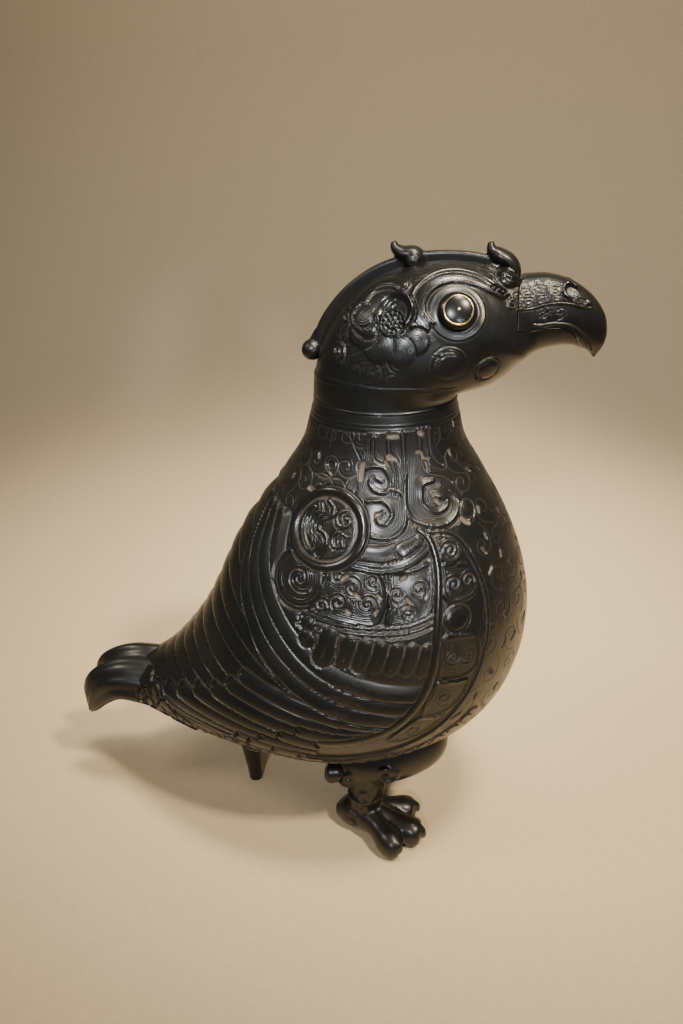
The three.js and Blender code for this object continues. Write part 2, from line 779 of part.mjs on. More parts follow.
function ringProfile(extra, crown) {
  const inner = eyeRingRadius - eyeRingWidth / 2 - extra;
  const outer = eyeRingRadius + eyeRingWidth / 2 + extra;
  const foot = ringCrown - eyeRingDepth - extra;
  return [[inner, foot], [outer, foot], [outer, crown], [inner, crown], [inner, foot]];
}

function eyeRing(side) {
  return solidOf(seatAtEye(turned(ringProfile(0, ringCrown)), side));
}

function eyeRingGroove(side) {
  return solidOf(seatAtEye(turned(ringProfile(inlayGap, eyeDomeHeight + 2)), side));
}

function pupil(side, extra = 0) {
  const radius = pupilRadius + extra;
  const foot = eyeDomeHeight - pupilDepth - extra;
  const crown = eyeDomeHeight + 0.15 + extra * 5;
  return solidOf(seatAtEye(turned([[0, foot], [radius, foot], [radius, crown], [0, crown]]), side));
}

function brow(side) {
  const path = [
    [5.3, 108], [5.75, 122], [6.4, 138], [7.05, 147], [7.6, 145], [8, 133], [8.3, 118], [8.7, 113],
  ];
  return strip(headPoint, path, 4.4 * unit, [0.3, 1.5, 0.3], 6, side);
}

function ear(side) {
  const lobes = [[4.6, 142, 5.4, 2.6], [4, 128, 5.8, 2.4], [3.95, 109, 5.8, 2.6]];
  const pieces = lobes.map(([s, d, radius, height]) => {
    return boss(headPoint, s, d, radius * unit, [[1, -sinkDepth], [1, 0.4], [0.6, height]], 6, side);
  });
  const cap = [[4.75, 158], [5.1, 155], [5.45, 149], [5.65, 138], [5.55, 126], [5.3, 117]];
  pieces.push(strip(headPoint, cap, 4.6 * unit, [0.3, 2.8, 0.3], 5, side));
  const bowl = [[1, -sinkDepth], [1, 2.9], [0.75, 3.4], [0.6, 2.4]];
  pieces.push(boss(headPoint, 4.95, 120, 6 * unit, bowl, 10, side));
  return pieces;
}

function cheeks(side) {
  return [
    boss(headPoint, 4.65, 73, 6 * unit, domed, 10, side),
    boss(headPoint, 5.28, 48, 4.6 * unit, domed, 8, side),
  ];
}

// A moulding round the nape and cheeks, level all the way.
function collar(side) {
  const path = [[1.83, 183], [1.95, 150], [2.15, 115], [2.33, 90], [3, 60]];
  return strip(headPoint, path, collarWidth, [0.2, collarHeight, 0.2], 7, side);
}

function spigot() {
  const outer = mouthRadius - wall - spigotClearance;
  const geometry = new THREE.CylinderGeometry(outer, outer, spigotDepth + 3, cavityFacets);
  geometry.rotateX(Math.PI / 2);
  geometry.translate(0, 0, mouthLevel - spigotDepth + (spigotDepth + 3) / 2);
  return solidOf(geometry);
}

function headLid() {
  const shell = headForm().subtract(beakZone(beakGap, false));
  const ornaments = joined([
    crest(), curls(), ...both(eyeDome), ...both(brow), ...both(ear).flat(), ...both(cheeks).flat(),
    ...both(collar),
  ]).subtract(beakZone(beakGap, false));
  const whole = joined([shell, ornaments, spigot()]).subtract(headCavity());
  const cuts = joined([spout(), ...both(eyeRingGroove), ...both((side) => pupil(side, inlayGap))]);
  return whole.subtract(cuts).add(hingeLug());
}

function hingePin() {
  return across(pinX, pinZ, hingePinRadius, hingePinLength, 12);
}

// The scene graph
const bird = new THREE.Group();

function addPiece(name, piece, material) {
  const result = piece.getMesh();
  const geometry = new THREE.BufferGeometry();
  geometry.setAttribute("position", new THREE.BufferAttribute(result.vertProperties, result.numProp));
  geometry.setIndex(new THREE.BufferAttribute(result.triVerts, 1));
  geometry.computeVertexNormals();
  const mesh = new THREE.Mesh(geometry, material);
  mesh.name = name;
  bird.add(mesh);
}

addPiece("vessel", vessel(), bronze);
addPiece("head_lid", headLid(), darkBronze);
addPiece("upper_beak", upperBeak(), darkBronze.clone());
addPiece("beak_pin", hingePin(), bronze.clone());
addPiece("eye_ring_right", eyeRing(1), gold);
addPiece("eye_ring_left", eyeRing(-1), gold.clone());
addPiece("pupil_right", pupil(1), gold.clone());
addPiece("pupil_left", pupil(-1), gold.clone());

const bounds = new THREE.Box3().setFromObject(bird);
bird.position.x = -(bounds.min.x + bounds.max.x) / 2;
bird.updateMatrixWorld(true);

export default bird;
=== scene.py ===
"""Dresses the inlaid wine vessel: chased bronze skins, gold inlay, studio and camera."""
import logging
import math
from dataclasses import dataclass
from enum import Enum
from typing import Any, Callable, Iterable, Sequence

import bmesh
import bpy
import numpy as np
from mathutils import Matrix, Vector
from mathutils.kdtree import KDTree


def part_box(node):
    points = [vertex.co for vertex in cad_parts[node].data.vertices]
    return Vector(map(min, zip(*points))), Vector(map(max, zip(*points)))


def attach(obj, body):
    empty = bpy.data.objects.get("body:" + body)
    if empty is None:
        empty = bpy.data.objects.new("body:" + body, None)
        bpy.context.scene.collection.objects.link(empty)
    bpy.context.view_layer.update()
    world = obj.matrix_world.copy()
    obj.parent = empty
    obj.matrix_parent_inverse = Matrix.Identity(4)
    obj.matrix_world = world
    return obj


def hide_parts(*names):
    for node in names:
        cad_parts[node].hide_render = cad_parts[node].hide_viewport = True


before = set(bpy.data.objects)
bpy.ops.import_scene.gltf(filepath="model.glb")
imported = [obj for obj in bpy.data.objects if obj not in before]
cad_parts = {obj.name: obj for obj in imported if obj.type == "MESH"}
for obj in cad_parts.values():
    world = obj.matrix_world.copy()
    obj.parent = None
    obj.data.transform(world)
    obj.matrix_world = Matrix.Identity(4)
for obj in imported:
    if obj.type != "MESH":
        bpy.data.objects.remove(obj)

LOG = logging.getLogger("wine_vessel")
MM = 0.001
WELD = 1e-4
DUST = 0.28
MOAT_DEPTH = 0.35
DEGREES_PER_STATION = 14.0
BATCH = 1500000
BODY = "vessel"
FLAP = "beak"
PIN_X = 53.5
SHIFT = sum(corner.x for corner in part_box("beak_pin")) / 2 / MM - PIN_X
Address = tuple[float, float]
Array = np.ndarray
EYE: Address = (6.7, 105)


class Fill(Enum):
    """What is engraved inside a raised motif."""

    PLAIN = "plain"
    LINES = "lines"
    HATCH = "hatch"
    BARBS = "barbs"


def smooth(value: Array) -> Array:
    """Eases a share from 0 to 1."""
    t = np.clip(value, 0.0, 1.0)
    return t * t * (3 - 2 * t)


def hermite(before: Array, here: Array, ahead: Array, beyond: Array, w: Array) -> Array:
    """Runs smoothly from one point to the next, at shares of the way between them."""
    v0, v1 = (ahead - before) / 2, (beyond - here) / 2
    cubic, square = 2 * here - 2 * ahead + v0 + v1, -3 * here + 3 * ahead - 2 * v0 - v1
    return cubic * w**3 + square * w**2 + v0 * w + here


def catmull(points: Sequence, share: Array) -> Array:
    """Runs a smooth line through points.

    Args:
        points: the points; the first and the last one count twice.
        share: where along the line, from 0 to 1.

    Returns:
        One point for each share.
    """
    p = np.asarray(points, float).reshape(len(points), -1)
    last = len(p) - 1
    place = np.atleast_1d(share) * last
    i = np.clip(np.floor(place).astype(int), 0, last - 1)
    return hermite(*(p[np.clip(i + step, 0, last)] for step in (-1, 0, 1, 2)), (place - i)[:, None])


def looped(path: Sequence, over: int = 1) -> list:
    """Closes a path by running on over its first points."""
    return [*path, *path[:over]]


def coil(radius: float, start: float, turns: float, steps: int, shrink: float) -> list[tuple[float, float]]:
    """Winds a flat spiral inward.

    Args:
        radius: its radius where it starts.
        start: the degrees where it starts.
        turns: the degrees that it turns through.
        steps: how many points it has.
        shrink: the share of its radius that it loses.

    Returns:
        Its points.
    """
    share = np.linspace(0, 1, steps)
    turn, reach = np.radians(start + turns * share), radius * (1 - shrink * share)
    return list(zip((reach * np.cos(turn)).tolist(), (reach * np.sin(turn)).tolist()))


def unit(vectors: Array) -> Array:
    """Scales vectors to length one."""
    return vectors / np.maximum(np.linalg.norm(vectors, axis=-1, keepdims=True), 1e-12)


@dataclass(frozen=True)
class Form:
    """A free form lofted between a back line and a front line, as the solids are.

    Station 0 is where the form starts. Degrees run from the front or underside, at 0,
    over the right flank to the back or top, at 180. Lengths are in millimetres.
    """

    back: Sequence
    front: Sequence
    half: Sequence
    squareness: float = 0.0

    @property
    def stations(self) -> int:
        """The last station."""
        return len(self.half) - 1

    def point(self, station: Array, degrees: Array) -> Array:
        """Returns the points at the addresses."""
        share = np.clip(np.asarray(station, float) / self.stations, 0, 1)
        rear, fore = catmull(self.back, share), catmull(self.front, share)
        across = catmull(self.half, share)[:, 0]
        turn = np.radians(degrees)
        lean, bulge = np.cos(turn), np.sin(turn)
        power = 1 - self.squareness * np.clip((np.asarray(station) - 1) / 3, 0, 1)
        middle, reach = (rear + fore) / 2, (fore - rear) / 2
        side = -across * np.sign(bulge) * np.abs(bulge) ** power
        return np.stack([middle[:, 0] + reach[:, 0] * lean, side, middle[:, 1] + reach[:, 1] * lean], 1)

    def slopes(self, station: Array, degrees: Array) -> tuple[Array, Array]:
        """Returns how the points move per station and per degree."""
        s, d = np.asarray(station, float), np.asarray(degrees, float)
        low, high = np.clip(s - 0.02, 0, self.stations), np.clip(s + 0.02, 0, self.stations)
        along = (self.point(high, d) - self.point(low, d)) / (high - low)[:, None]
        return along, (self.point(s, d + 1) - self.point(s, d - 1)) / 2

    def normal(self, station: Array, degrees: Array) -> Array:
        """Returns the outward normals at the addresses."""
        along, around = self.slopes(station, degrees)
        made = unit(np.cross(along, around))
        apart = self.point(station, degrees) - self.point(station, np.asarray(degrees) + 180)
        return np.where((made * apart).sum(1, keepdims=True) < 0, -made, made)

    def beside(self, centre: Address, right: Array, down: Array) -> Array:
        """Finds addresses by their offsets from a centre, as seen on the right flank.

        Args:
            centre: the address that the offsets are measured from.
            right: millimetres towards the front.
            down: millimetres towards the next station.

        Returns:
            One address, station and degrees, for each offset.
        """
        s = np.full(len(right), float(centre[0]))
        d = np.full(len(right), float(centre[1]))
        along, around = self.slopes(s[:1], d[:1])
        face = self.normal(s[:1], d[:1])
        heading = unit(along)
        sideways = np.cross(face, heading)
        origin = self.point(s[:1], d[:1])
        a, b = (along * heading).sum(), (around * heading).sum()
        c, e = (along * sideways).sum(), (around * sideways).sum()
        scale = a * e - b * c
        for _ in range(6):
            offset = self.point(s, d) - origin
            miss_down = down - (offset * heading).sum(1)
            miss_right = right - (offset * sideways).sum(1)
            s += (miss_down * e - miss_right * b) / scale
            d += (miss_right * a - miss_down * c) / scale
        return np.stack([s, d], 1)


MOUTH = 206.0
BODY_FORM = Form(
    back=[(-28.5, MOUTH), (-33, 189), (-41, 176), (-50, 163), (-60, 149), (-67.5, 135), (-74, 121),
          (-80.5, 108.5), (-87.5, 98), (-95, 88.5), (-102.5, 80.5), (-110, 74.5), (-116.5, 70), (-122, 67),
          (-127, 65)],
    front=[(28.5, MOUTH), (32, 190), (40, 176), (50, 158), (58, 138), (62, 117), (60.5, 95), (53, 74),
           (38.5, 56.5), (17, 44), (-10, 38), (-38, 37), (-66, 41), (-90, 46.5), (-110, 52)],
    half=[28.5, 30.5, 36.5, 44.5, 51.5, 56.5, 58.5, 58.5, 56, 51, 43.5, 35, 26.5, 19.5, 15],
)
HEAD_FORM = Form(
    back=[(-28.5, MOUTH + 0.3), (-28.5, 210.5), (-27.5, 217), (-24, 229), (-17.5, 240), (-8.5, 248.5),
          (3, 254.5), (17, 257.5), (31, 257.5), (42, 255), (50, 253), (60, 253), (69, 250.3), (76.7, 245),
          (81.5, 238.5), (83, 232), (82.3, 227), (79.5, 222)],
    front=[(28.5, MOUTH + 0.3), (28.5, 208), (31, 210), (36, 211), (41, 212.5), (46, 215.7), (50, 219.5),
           (53, 222), (55.5, 223.7), (58, 224.8), (60.5, 225.6), (64, 226.3), (67.5, 226.8), (71, 226.4),
           (74, 225.4), (76, 224.7), (77.2, 223.8), (78.3, 222.6)],
    half=[28.5, 28.5, 28.6, 29, 29, 28, 26.5, 24, 18, 13, 11, 10, 9, 7.8, 6.3, 4.6, 2.8, 0.8],
    squareness=0.15,
)


class Relief:
    """Chased relief laid on a set of addresses, and the engraving that the finish reads."""

    CHANNELS = ("phase", "cut", "ground", "height")

    def __init__(self, form: Form, station: Array, degrees: Array) -> None:
        """Starts from a smooth form; the left flank mirrors the right."""
        turned = np.mod(degrees, 360)
        self.form = form
        self.station = station
        self.degrees = np.where(turned > 180, 360 - turned, turned)
        self.base = form.point(station, self.degrees)
        self.normal = form.normal(station, self.degrees)
        self.height = np.zeros(len(station))
        self.phase = np.zeros(len(station))
        self.cut = np.zeros(len(station))
        self.ground = np.zeros(len(station))

    def line(self, path: Sequence, per: int = 0) -> Array:
        """Turns a path of addresses into points on the form; long paths get fewer between."""
        per = per or (8 if len(path) < 12 else 2)
        share = np.linspace(0, 1, (len(path) - 1) * per + 1)
        address = catmull(path, share)
        return self.form.point(address[:, 0], address[:, 1])

    def near(self, line: Array, reach: float) -> Array:
        """Picks the vertices in reach of a line."""
        inside = (self.base > line.min(0) - reach) & (self.base < line.max(0) + reach)
        return np.flatnonzero(inside.all(1))

    def measure(self, picked: Array, line: Array) -> tuple[Array, Array]:
        """Measures vertices against a line.

        Args:
            picked: which vertices.
            line: the points of the line.

        Returns:
            The signed distance, positive to the right of the travel, and the way along.
        """
        start, step = line[:-1], np.diff(line, axis=0)
        length = np.maximum((step**2).sum(1), 1e-12)
        run = np.concatenate([[0], np.cumsum(np.sqrt(length))])
        lateral, along = np.zeros(len(picked)), np.zeros(len(picked))
        size = max(1, BATCH // len(start))
        for low in range(0, len(picked), size):
            part = picked[low:low + size]
            away = self.base[part][:, None, :] - start[None]
            share = np.clip((away * step[None]).sum(2) / length, 0, 1)
            gap2 = ((away - share[..., None] * step[None]) ** 2).sum(2)
            best = gap2.argmin(1)
            row = np.arange(len(part))
            travel = np.cross(self.normal[part], step[best])
            side = (travel * away[row, best]).sum(1)
            lateral[low:low + size] = np.sqrt(gap2[row, best]) * np.where(side < 0, -1, 1)
            along[low:low + size] = run[best] + share[row, best] * np.sqrt(length[best])
        return lateral, along

    def blend(self, picked: Array, mask: Array, height: Array, phase: Array, cut: float,
              ground: float) -> None:
        """Lays new heights over old ones.

        Args:
            picked: which vertices.
            mask: how far each takes the new height, from 0 to 1.
            height: the new heights.
            phase: where each lies among the engraved lines.
            cut: how deep the engraving is, as a share.
            ground: how much of the pale ground shows.
        """
        self.height[picked] += (height - self.height[picked]) * mask
        covered = mask > 0.5
        on = picked[covered]
        self.phase[on] = phase[covered]
        self.cut[on] = cut
        self.ground[picked] += (ground - self.ground[picked]) * mask

    def moat(self, picked: Array, outside: Array, width: float) -> None:
        """Sinks a dusty groove round a motif.

        Args:
            picked: which vertices.
            outside: how far each lies outside the motif's edge.
            width: how wide the groove is.
        """
        mask = smooth((outside + width * 0.25) / (width * 0.35)) * smooth((width - outside) / (width * 0.5))
        self.height[picked] += (-MOAT_DEPTH - self.height[picked]) * mask
        self.ground[picked] = np.maximum(self.ground[picked], mask * DUST)
        self.cut[picked[mask > 0.5]] = 0.0

    def band(self, path: Sequence, width: float | tuple[float, float], height: float, fill: Fill = Fill.LINES,
             pitch: float = 0.8, crown: float = 0.0, edge: float = 0.45, tilt: float = 0.0, moat: float = 0.0,
             cut: float = 1.0, ground: float = 0.0) -> None:
        """Raises a ribbon along a path of addresses.

        Args:
            path: the addresses that it runs through.
            width: its width, or its widths at the start and the end.
            height: how high its top stands.
            fill: what is engraved on it.
            pitch: how far apart the engraved lines are.
            crown: how much higher its middle is.
            edge: how wide its bevelled edge is.
            tilt: how much its right edge stands above its left one.
            moat: how wide the groove round it is.
            cut: how deep the engraving is, as a share.
            ground: how much of the pale ground shows in it.
        """
        line = self.line(path)
        first, last = width if isinstance(width, tuple) else (width, width)
        reach = max(first, last) / 2 + edge + moat
        picked = self.near(line, reach)
        if not len(picked):
            return
        lateral, along = self.measure(picked, line)
        total = np.linalg.norm(np.diff(line, axis=0), axis=1).sum()
        half = (first + (last - first) * along / total) / 2
        away = np.abs(lateral)
        if moat:
            self.moat(picked, away - half, moat)
        mask = smooth((half - away) / edge + 0.5)
        across = np.clip(lateral / np.maximum(half, 1e-6), -1, 1)
        top = height + crown * (1 - across**2) + tilt * across
        if fill is Fill.LINES:
            phase = away / pitch
        elif fill is Fill.HATCH:
            phase = along / pitch
        else:
            phase = (along - away * 1.1) / pitch
        self.blend(picked, mask, top, phase, 0.0 if fill is Fill.PLAIN else cut, ground)

    def etch(self, paths: Sequence, region: Array, base: float, pitch: float = 0.85, width: float = 0.8,
             depth: float = 0.35, bead: float = 0.22, reach: float = 4.5, cut: float = 1.0) -> None:
        """Cuts grooves along paths, and engraves the land between them with lines that follow the grooves.

        Args:
            paths: the paths of addresses of the grooves.
            region: which vertices may be worked.
            base: how high the land stands.
            pitch: how far apart the engraved lines are.
            width: how wide a groove is.
            depth: how far a groove lies below the land.
            bead: how high the bead beside a groove stands.
            reach: how far from a groove the land is engraved.
            cut: how deep the engraving is, as a share.
        """
        gap = np.full(len(self.station), reach)
        for path in paths:
            line = self.line(path)
            picked = self.near(line, reach)
            if len(picked):
                lateral, _ = self.measure(picked, line)
                gap[picked] = np.minimum(gap[picked], np.abs(lateral))
        on = np.flatnonzero(region)
        away = gap[on] - width / 2
        sunk = smooth(0.5 - away / 0.4)
        brim = bead * np.exp(-((away - 0.45) / 0.32) ** 2)
        self.height[on] = base + brim - depth * sunk
        self.phase[on] = away / pitch
        self.cut[on] = np.where((away > 0.55) & (gap[on] < reach - 0.2), cut, 0.0)
        self.ground[on] = sunk * DUST

    def inside(self, path: Sequence) -> Array:
        """Says which vertices lie inside a closed path of addresses."""
        ring = catmull(looped(path), np.linspace(0, 1, len(path) * 6 + 1))
        return self.enclosed(self.station, self.degrees / DEGREES_PER_STATION,
                             ring / (1, DEGREES_PER_STATION))

    def hole(self, path: Sequence, width: float | tuple[float, float], depth: float = 0.55,
             ground: float = 0.9) -> None:
        """Sinks a slot whose bottom shows the pale ground."""
        self.band(path, width, -depth, Fill.PLAIN, edge=0.35, ground=ground)

    @staticmethod
    def enclosed(x: Array, y: Array, ring: Array) -> Array:
        """Says which points lie inside a closed ring."""
        inside = np.zeros(len(x), bool)
        for (x0, y0), (x1, y1) in zip(ring[:-1], ring[1:]):
            if y0 == y1:
                continue
            crosses = ((y0 > y) != (y1 > y)) & (x < (x1 - x0) * (y - y0) / (y1 - y0) + x0)
            inside ^= crosses
        return inside

    def disc(self, centre: Address, radius: float, profile: Sequence[tuple[float, float]],
             fill: Fill = Fill.PLAIN, pitch: float = 0.9, moat: float = 0.0, cut: float = 1.0) -> None:
        """Raises a round motif.

        Args:
            centre: the address of its middle.
            radius: its radius.
            profile: shares of the radius, from 0 to 1, with the height at each.
            fill: what is engraved on it.
            pitch: how far apart the engraved lines are.
            moat: how wide the groove round it is.
            cut: how deep the engraving is, as a share.
        """
        spot = np.array([centre], float)
        middle = self.form.point(spot[:, 0], spot[:, 1])
        picked = self.near(middle, radius * 1.2 + moat + 1)
        if not len(picked):
            return
        along, _ = self.form.slopes(spot[:, 0], spot[:, 1])
        heading = unit(along)
        away = self.base[picked] - middle
        down = (away * heading).sum(1)
        rest = np.sqrt(np.maximum((away**2).sum(1) - down**2, 0))
        reach = np.hypot(down, rest)
        if moat:
            self.moat(picked, reach - radius, moat)
        shares, heights = np.array(profile, float).T
        top = np.interp(reach / radius, shares, heights)
        mask = smooth((radius - reach) / 0.4 + 0.5)
        turn = np.arctan2(down, (away * np.cross(self.normal[picked], heading)).sum(1))
        phase = reach / pitch if fill is Fill.LINES else turn * radius / pitch
        self.blend(picked, mask, top, phase, 0.0 if fill is Fill.PLAIN else cut, 0.0)

    def around(self, centre: Address, reach: Array, turn: Array) -> Array:
        """Returns the addresses at a reach from a centre, the angles counted clockwise from the front."""
        return self.form.beside(centre, reach * np.cos(turn), reach * np.sin(turn))

    def ring(self, centre: Address, radius: float) -> list[Address]:
        """Returns a circle of addresses."""
        return [tuple(a) for a in self.around(centre, radius, np.linspace(0, 2 * math.pi, 13)[:-1])]

    def arc(self, centre: Address, radius: float, start: float, end: float, steps: int = 14) -> Array:
        """Returns the addresses of part of a circle."""
        return self.around(centre, radius, np.radians(np.linspace(start, end, steps)))

    def spiral(self, centre: Address, outer: float, inner: float, start: float, sweep: float,
               steps: int = 28, wind: float = 0.85) -> Array:
        """Winds a spiral inward.

        Args:
            centre: the address of its middle.
            outer: its radius where it starts.
            inner: its radius where it ends.
            start: the degrees where it starts, clockwise from the front.
            sweep: the degrees that it turns through.
            steps: how many addresses it has.
            wind: below 1, how much sooner it closes in.

        Returns:
            Its addresses.
        """
        share = np.linspace(0, 1, steps)
        return self.around(centre, outer + (inner - outer) * share ** wind, np.radians(start + sweep * share))

    def scroll(self, centre: Address, radius: float, start: float, sweep: float, width: float = 1.5,
               height: float = 0.8, moat: float = 0.5) -> None:
        """Raises a plain scroll that thins towards its middle.

        Args:
            centre: the address of its middle.
            radius: its radius.
            start: the degrees where it starts, clockwise from the front.
            sweep: the degrees that it turns through.
            width: the width of its ribbon.
            height: how high it stands.
            moat: how wide the groove round it is.
        """
        path = self.spiral(centre, radius, radius * 0.16, start, sweep)
        self.band(path, (width, width * 0.75), height, Fill.PLAIN, moat=moat, crown=0.25)


def mesh_object(name: str, mesh: bpy.types.Mesh) -> bpy.types.Object:
    """Links a mesh to the scene as a piece."""
    made = bpy.data.objects.new(name, mesh)
    bpy.context.scene.collection.objects.link(made)
    return made


def settle(made: bpy.types.Object, body: str, finish: bpy.types.Material) -> bpy.types.Object:
    """Finishes a piece.

    Args:
        made: the piece.
        body: the body that it rides on.
        finish: its material.

    Returns:
        The same piece, its faces smooth.
    """
    made.data.shade_smooth()
    made.data.materials.clear()
    made.data.materials.append(finish)
    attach(made, body)
    LOG.info("%s: %d faces", made.name, len(made.data.polygons))
    return made


def from_bmesh(name: str, bm: bmesh.types.BMesh, tidy: bool = True) -> bpy.types.Object:
    """Turns a bmesh into a piece.

    Args:
        name: the name of the piece.
        bm: its shape, in millimetres of the form's frame; it is freed.
        tidy: whether doubles are merged and normals turned outward first.

    Returns:
        The piece, in metres of the shared frame.
    """
    if tidy:
        bmesh.ops.remove_doubles(bm, verts=bm.verts, dist=WELD)
        bmesh.ops.recalc_face_normals(bm, faces=bm.faces)
    bmesh.ops.translate(bm, vec=(SHIFT, 0, 0), verts=bm.verts)
    bmesh.ops.scale(bm, vec=(MM, MM, MM), verts=bm.verts)
    mesh = bpy.data.meshes.new(name)
    bm.to_mesh(mesh)
    bm.free()
    return mesh_object(name, mesh)


def grid(rows: int, columns: int) -> tuple[bmesh.types.BMesh, Array, Array]:
    """Makes a flat grid, and the share along and the share round of each of its points."""
    bm = bmesh.new()
    bmesh.ops.create_grid(bm, x_segments=rows, y_segments=columns, size=0.5)
    flat = np.clip(np.array([v.co[:2] for v in bm.verts]) + 0.5, 0, 1)
    return bm, flat[:, 0], flat[:, 1]


def close(bm: bmesh.types.BMesh) -> bmesh.types.BMesh:
    """Fills the open ends of a shell and turns its faces outward."""
    bmesh.ops.holes_fill(bm, edges=[e for e in bm.edges if e.is_boundary], sides=0)
    bmesh.ops.recalc_face_normals(bm, faces=bm.faces)
    return bm


def sheet(rows: int, columns: int, place: Callable[[Array, Array], Array]) -> bmesh.types.BMesh:
    """Rolls a grid into a closed form.

    Args:
        rows: how many faces lie along the form.
        columns: how many faces lie round it.
        place: gives the point in millimetres for shares along and round.

    Returns:
        The bmesh, its seam welded and its normals outward.
    """
    bm, along, across = grid(rows, columns)
    for vert, point in zip(bm.verts, place(along, across).tolist()):
        vert.co = point
    bmesh.ops.remove_doubles(bm, verts=bm.verts, dist=WELD)
    return close(bm)


def sweep(line: Sequence, radii: Sequence[float], sides: int, steps: int, flatness: float = 1.0,
          side: tuple = (0, 1, 0)) -> bmesh.types.BMesh:
    """Sweeps a round section along a smooth line.

    Args:
        line: the points that it runs through.
        radii: its radii, evenly spread along the line.
        sides: how many faces lie round it.
        steps: how many faces lie along it.
        flatness: its thickness as a share of its width.
        side: the direction that its width follows.

    Returns:
        The closed bmesh.
    """
    def place(u: Array, v: Array) -> Array:
        """Places the points of the section."""
        centre = catmull(line, u)
        forward = unit(catmull(line, np.clip(u + 0.01, 0, 1)) - catmull(line, np.clip(u - 0.01, 0, 1)))
        wide = np.broadcast_to(np.array(side, float), forward.shape)
        wide = unit(wide - (wide * forward).sum(1, keepdims=True) * forward)
        high = np.cross(forward, wide)
        radius = catmull(radii, u)
        turn = (v * 2 * np.pi)[:, None]
        return centre + wide * radius * np.cos(turn) + high * radius * flatness * np.sin(turn)

    return sheet(steps, sides, place)


def joined(parts: Iterable[bmesh.types.BMesh]) -> bmesh.types.BMesh:
    """Puts several bmeshes in one."""
    whole = bmesh.new()
    for part in parts:
        mesh = bpy.data.meshes.new("part")
        part.to_mesh(mesh)
        part.free()
        whole.from_mesh(mesh)
        bpy.data.meshes.remove(mesh)
    return whole


def applied(made: bpy.types.Object) -> bpy.types.Object:
    """Applies the modifiers of a piece."""
    graph = bpy.context.evaluated_depsgraph_get()
    mesh = bpy.data.meshes.new_from_object(made.evaluated_get(graph))
    made.modifiers.clear()
    made.data = mesh
    return made


def fused(made: bpy.types.Object, voxel: float, rounds: int = 3) -> bpy.types.Object:
    """Melts overlapping shells of a piece into one cast skin.

    Args:
        made: the piece.
        voxel: how fine the skin is, in millimetres.
        rounds: how often it is smoothed.

    Returns:
        The same piece.
    """
    remesh = made.modifiers.new("melt", "REMESH")
    remesh.mode = "VOXEL"
    remesh.voxel_size = voxel * MM
    relax = made.modifiers.new("relax", "SMOOTH")
    relax.factor = 0.5
    relax.iterations = rounds
    return applied(made)


def store(mesh: bpy.types.Mesh, name: str, values: Array) -> None:
    """Keeps one number for each vertex of a mesh."""
    attribute = mesh.attributes.get(name) or mesh.attributes.new(name, "FLOAT", "POINT")
    attribute.data.foreach_set("value", values.astype(np.float32))


def carved(made: bpy.types.Object, relief: Relief, points: Array) -> None:
    """Hands the engraving of a relief to a piece, each vertex from the nearest of its points."""
    count = len(made.data.vertices)
    spots = np.zeros(count * 3)
    made.data.vertices.foreach_get("co", spots)
    tree = KDTree(len(points))
    for index, point in enumerate(points.tolist()):
        tree.insert(point, index)
    tree.balance()
    found = np.array([tree.find(spot)[1] for spot in spots.reshape(-1, 3).tolist()])
    for name in Relief.CHANNELS:
        store(made.data, name, getattr(relief, name)[found])


class Nodes:
    """A node material under construction, which reads Object coordinates."""

    def __init__(self, name: str) -> None:
        """Starts the material with its shader."""
        self.material = bpy.data.materials.new(name)
        self.material.use_nodes = True
        self.shader = self.material.node_tree.nodes["Principled BSDF"]
        self.place = self.add("ShaderNodeTexCoord").outputs["Object"]

    def add(self, kind: str, **values: Any) -> bpy.types.Node:
        """Adds a node with the given properties."""
        made = self.material.node_tree.nodes.new(kind)
        for key, value in values.items():
            setattr(made, key, value)
        return made

    def feed(self, socket: bpy.types.NodeSocket, value: Any) -> None:
        """Gives a socket a number, a colour or what another socket sends."""
        if isinstance(value, bpy.types.NodeSocket):
            self.material.node_tree.links.new(value, socket)
        else:
            socket.default_value = (*value, 1) if isinstance(value, tuple) else value

    def set(self, **values: Any) -> None:
        """Feeds the shader's sockets, each named with its blanks as underscores."""
        for name, value in values.items():
            self.feed(self.shader.inputs[name.replace("_", " ")], value)

    def maths(self, operation: str, *values: Any, clamp: bool = False) -> bpy.types.NodeSocket:
        """Adds a sum."""
        made = self.add("ShaderNodeMath", operation=operation, use_clamp=clamp)
        for socket, value in zip(made.inputs, values):
            self.feed(socket, value)
        return made.outputs[0]

    def attribute(self, name: str) -> bpy.types.NodeSocket:
        """Reads one of the piece's own attributes."""
        return self.add("ShaderNodeAttribute", attribute_name=name).outputs["Fac"]

    def noise(self, scale: float, detail: float) -> bpy.types.NodeSocket:
        """Adds a noise."""
        made = self.add("ShaderNodeTexNoise")
        for name, value in (("Scale", scale), ("Detail", detail), ("Vector", self.place)):
            self.feed(made.inputs[name], value)
        return made.outputs["Fac"]

    def mix(self, share: bpy.types.NodeSocket, first: Any, second: Any) -> bpy.types.NodeSocket:
        """Mixes two colours."""
        made = self.add("ShaderNodeMix", data_type="RGBA")
        for index, value in ((0, share), (6, first), (7, second)):
            self.feed(made.inputs[index], value)
        return made.outputs[2]

    def bump(self, height: bpy.types.NodeSocket, strength: float, distance: float) -> None:
        """Roughens the shader's normal."""
        made = self.add("ShaderNodeBump")
        for name, value in (("Strength", strength), ("Distance", distance), ("Height", height)):
            self.feed(made.inputs[name], value)
        self.set(Normal=made.outputs["Normal"])


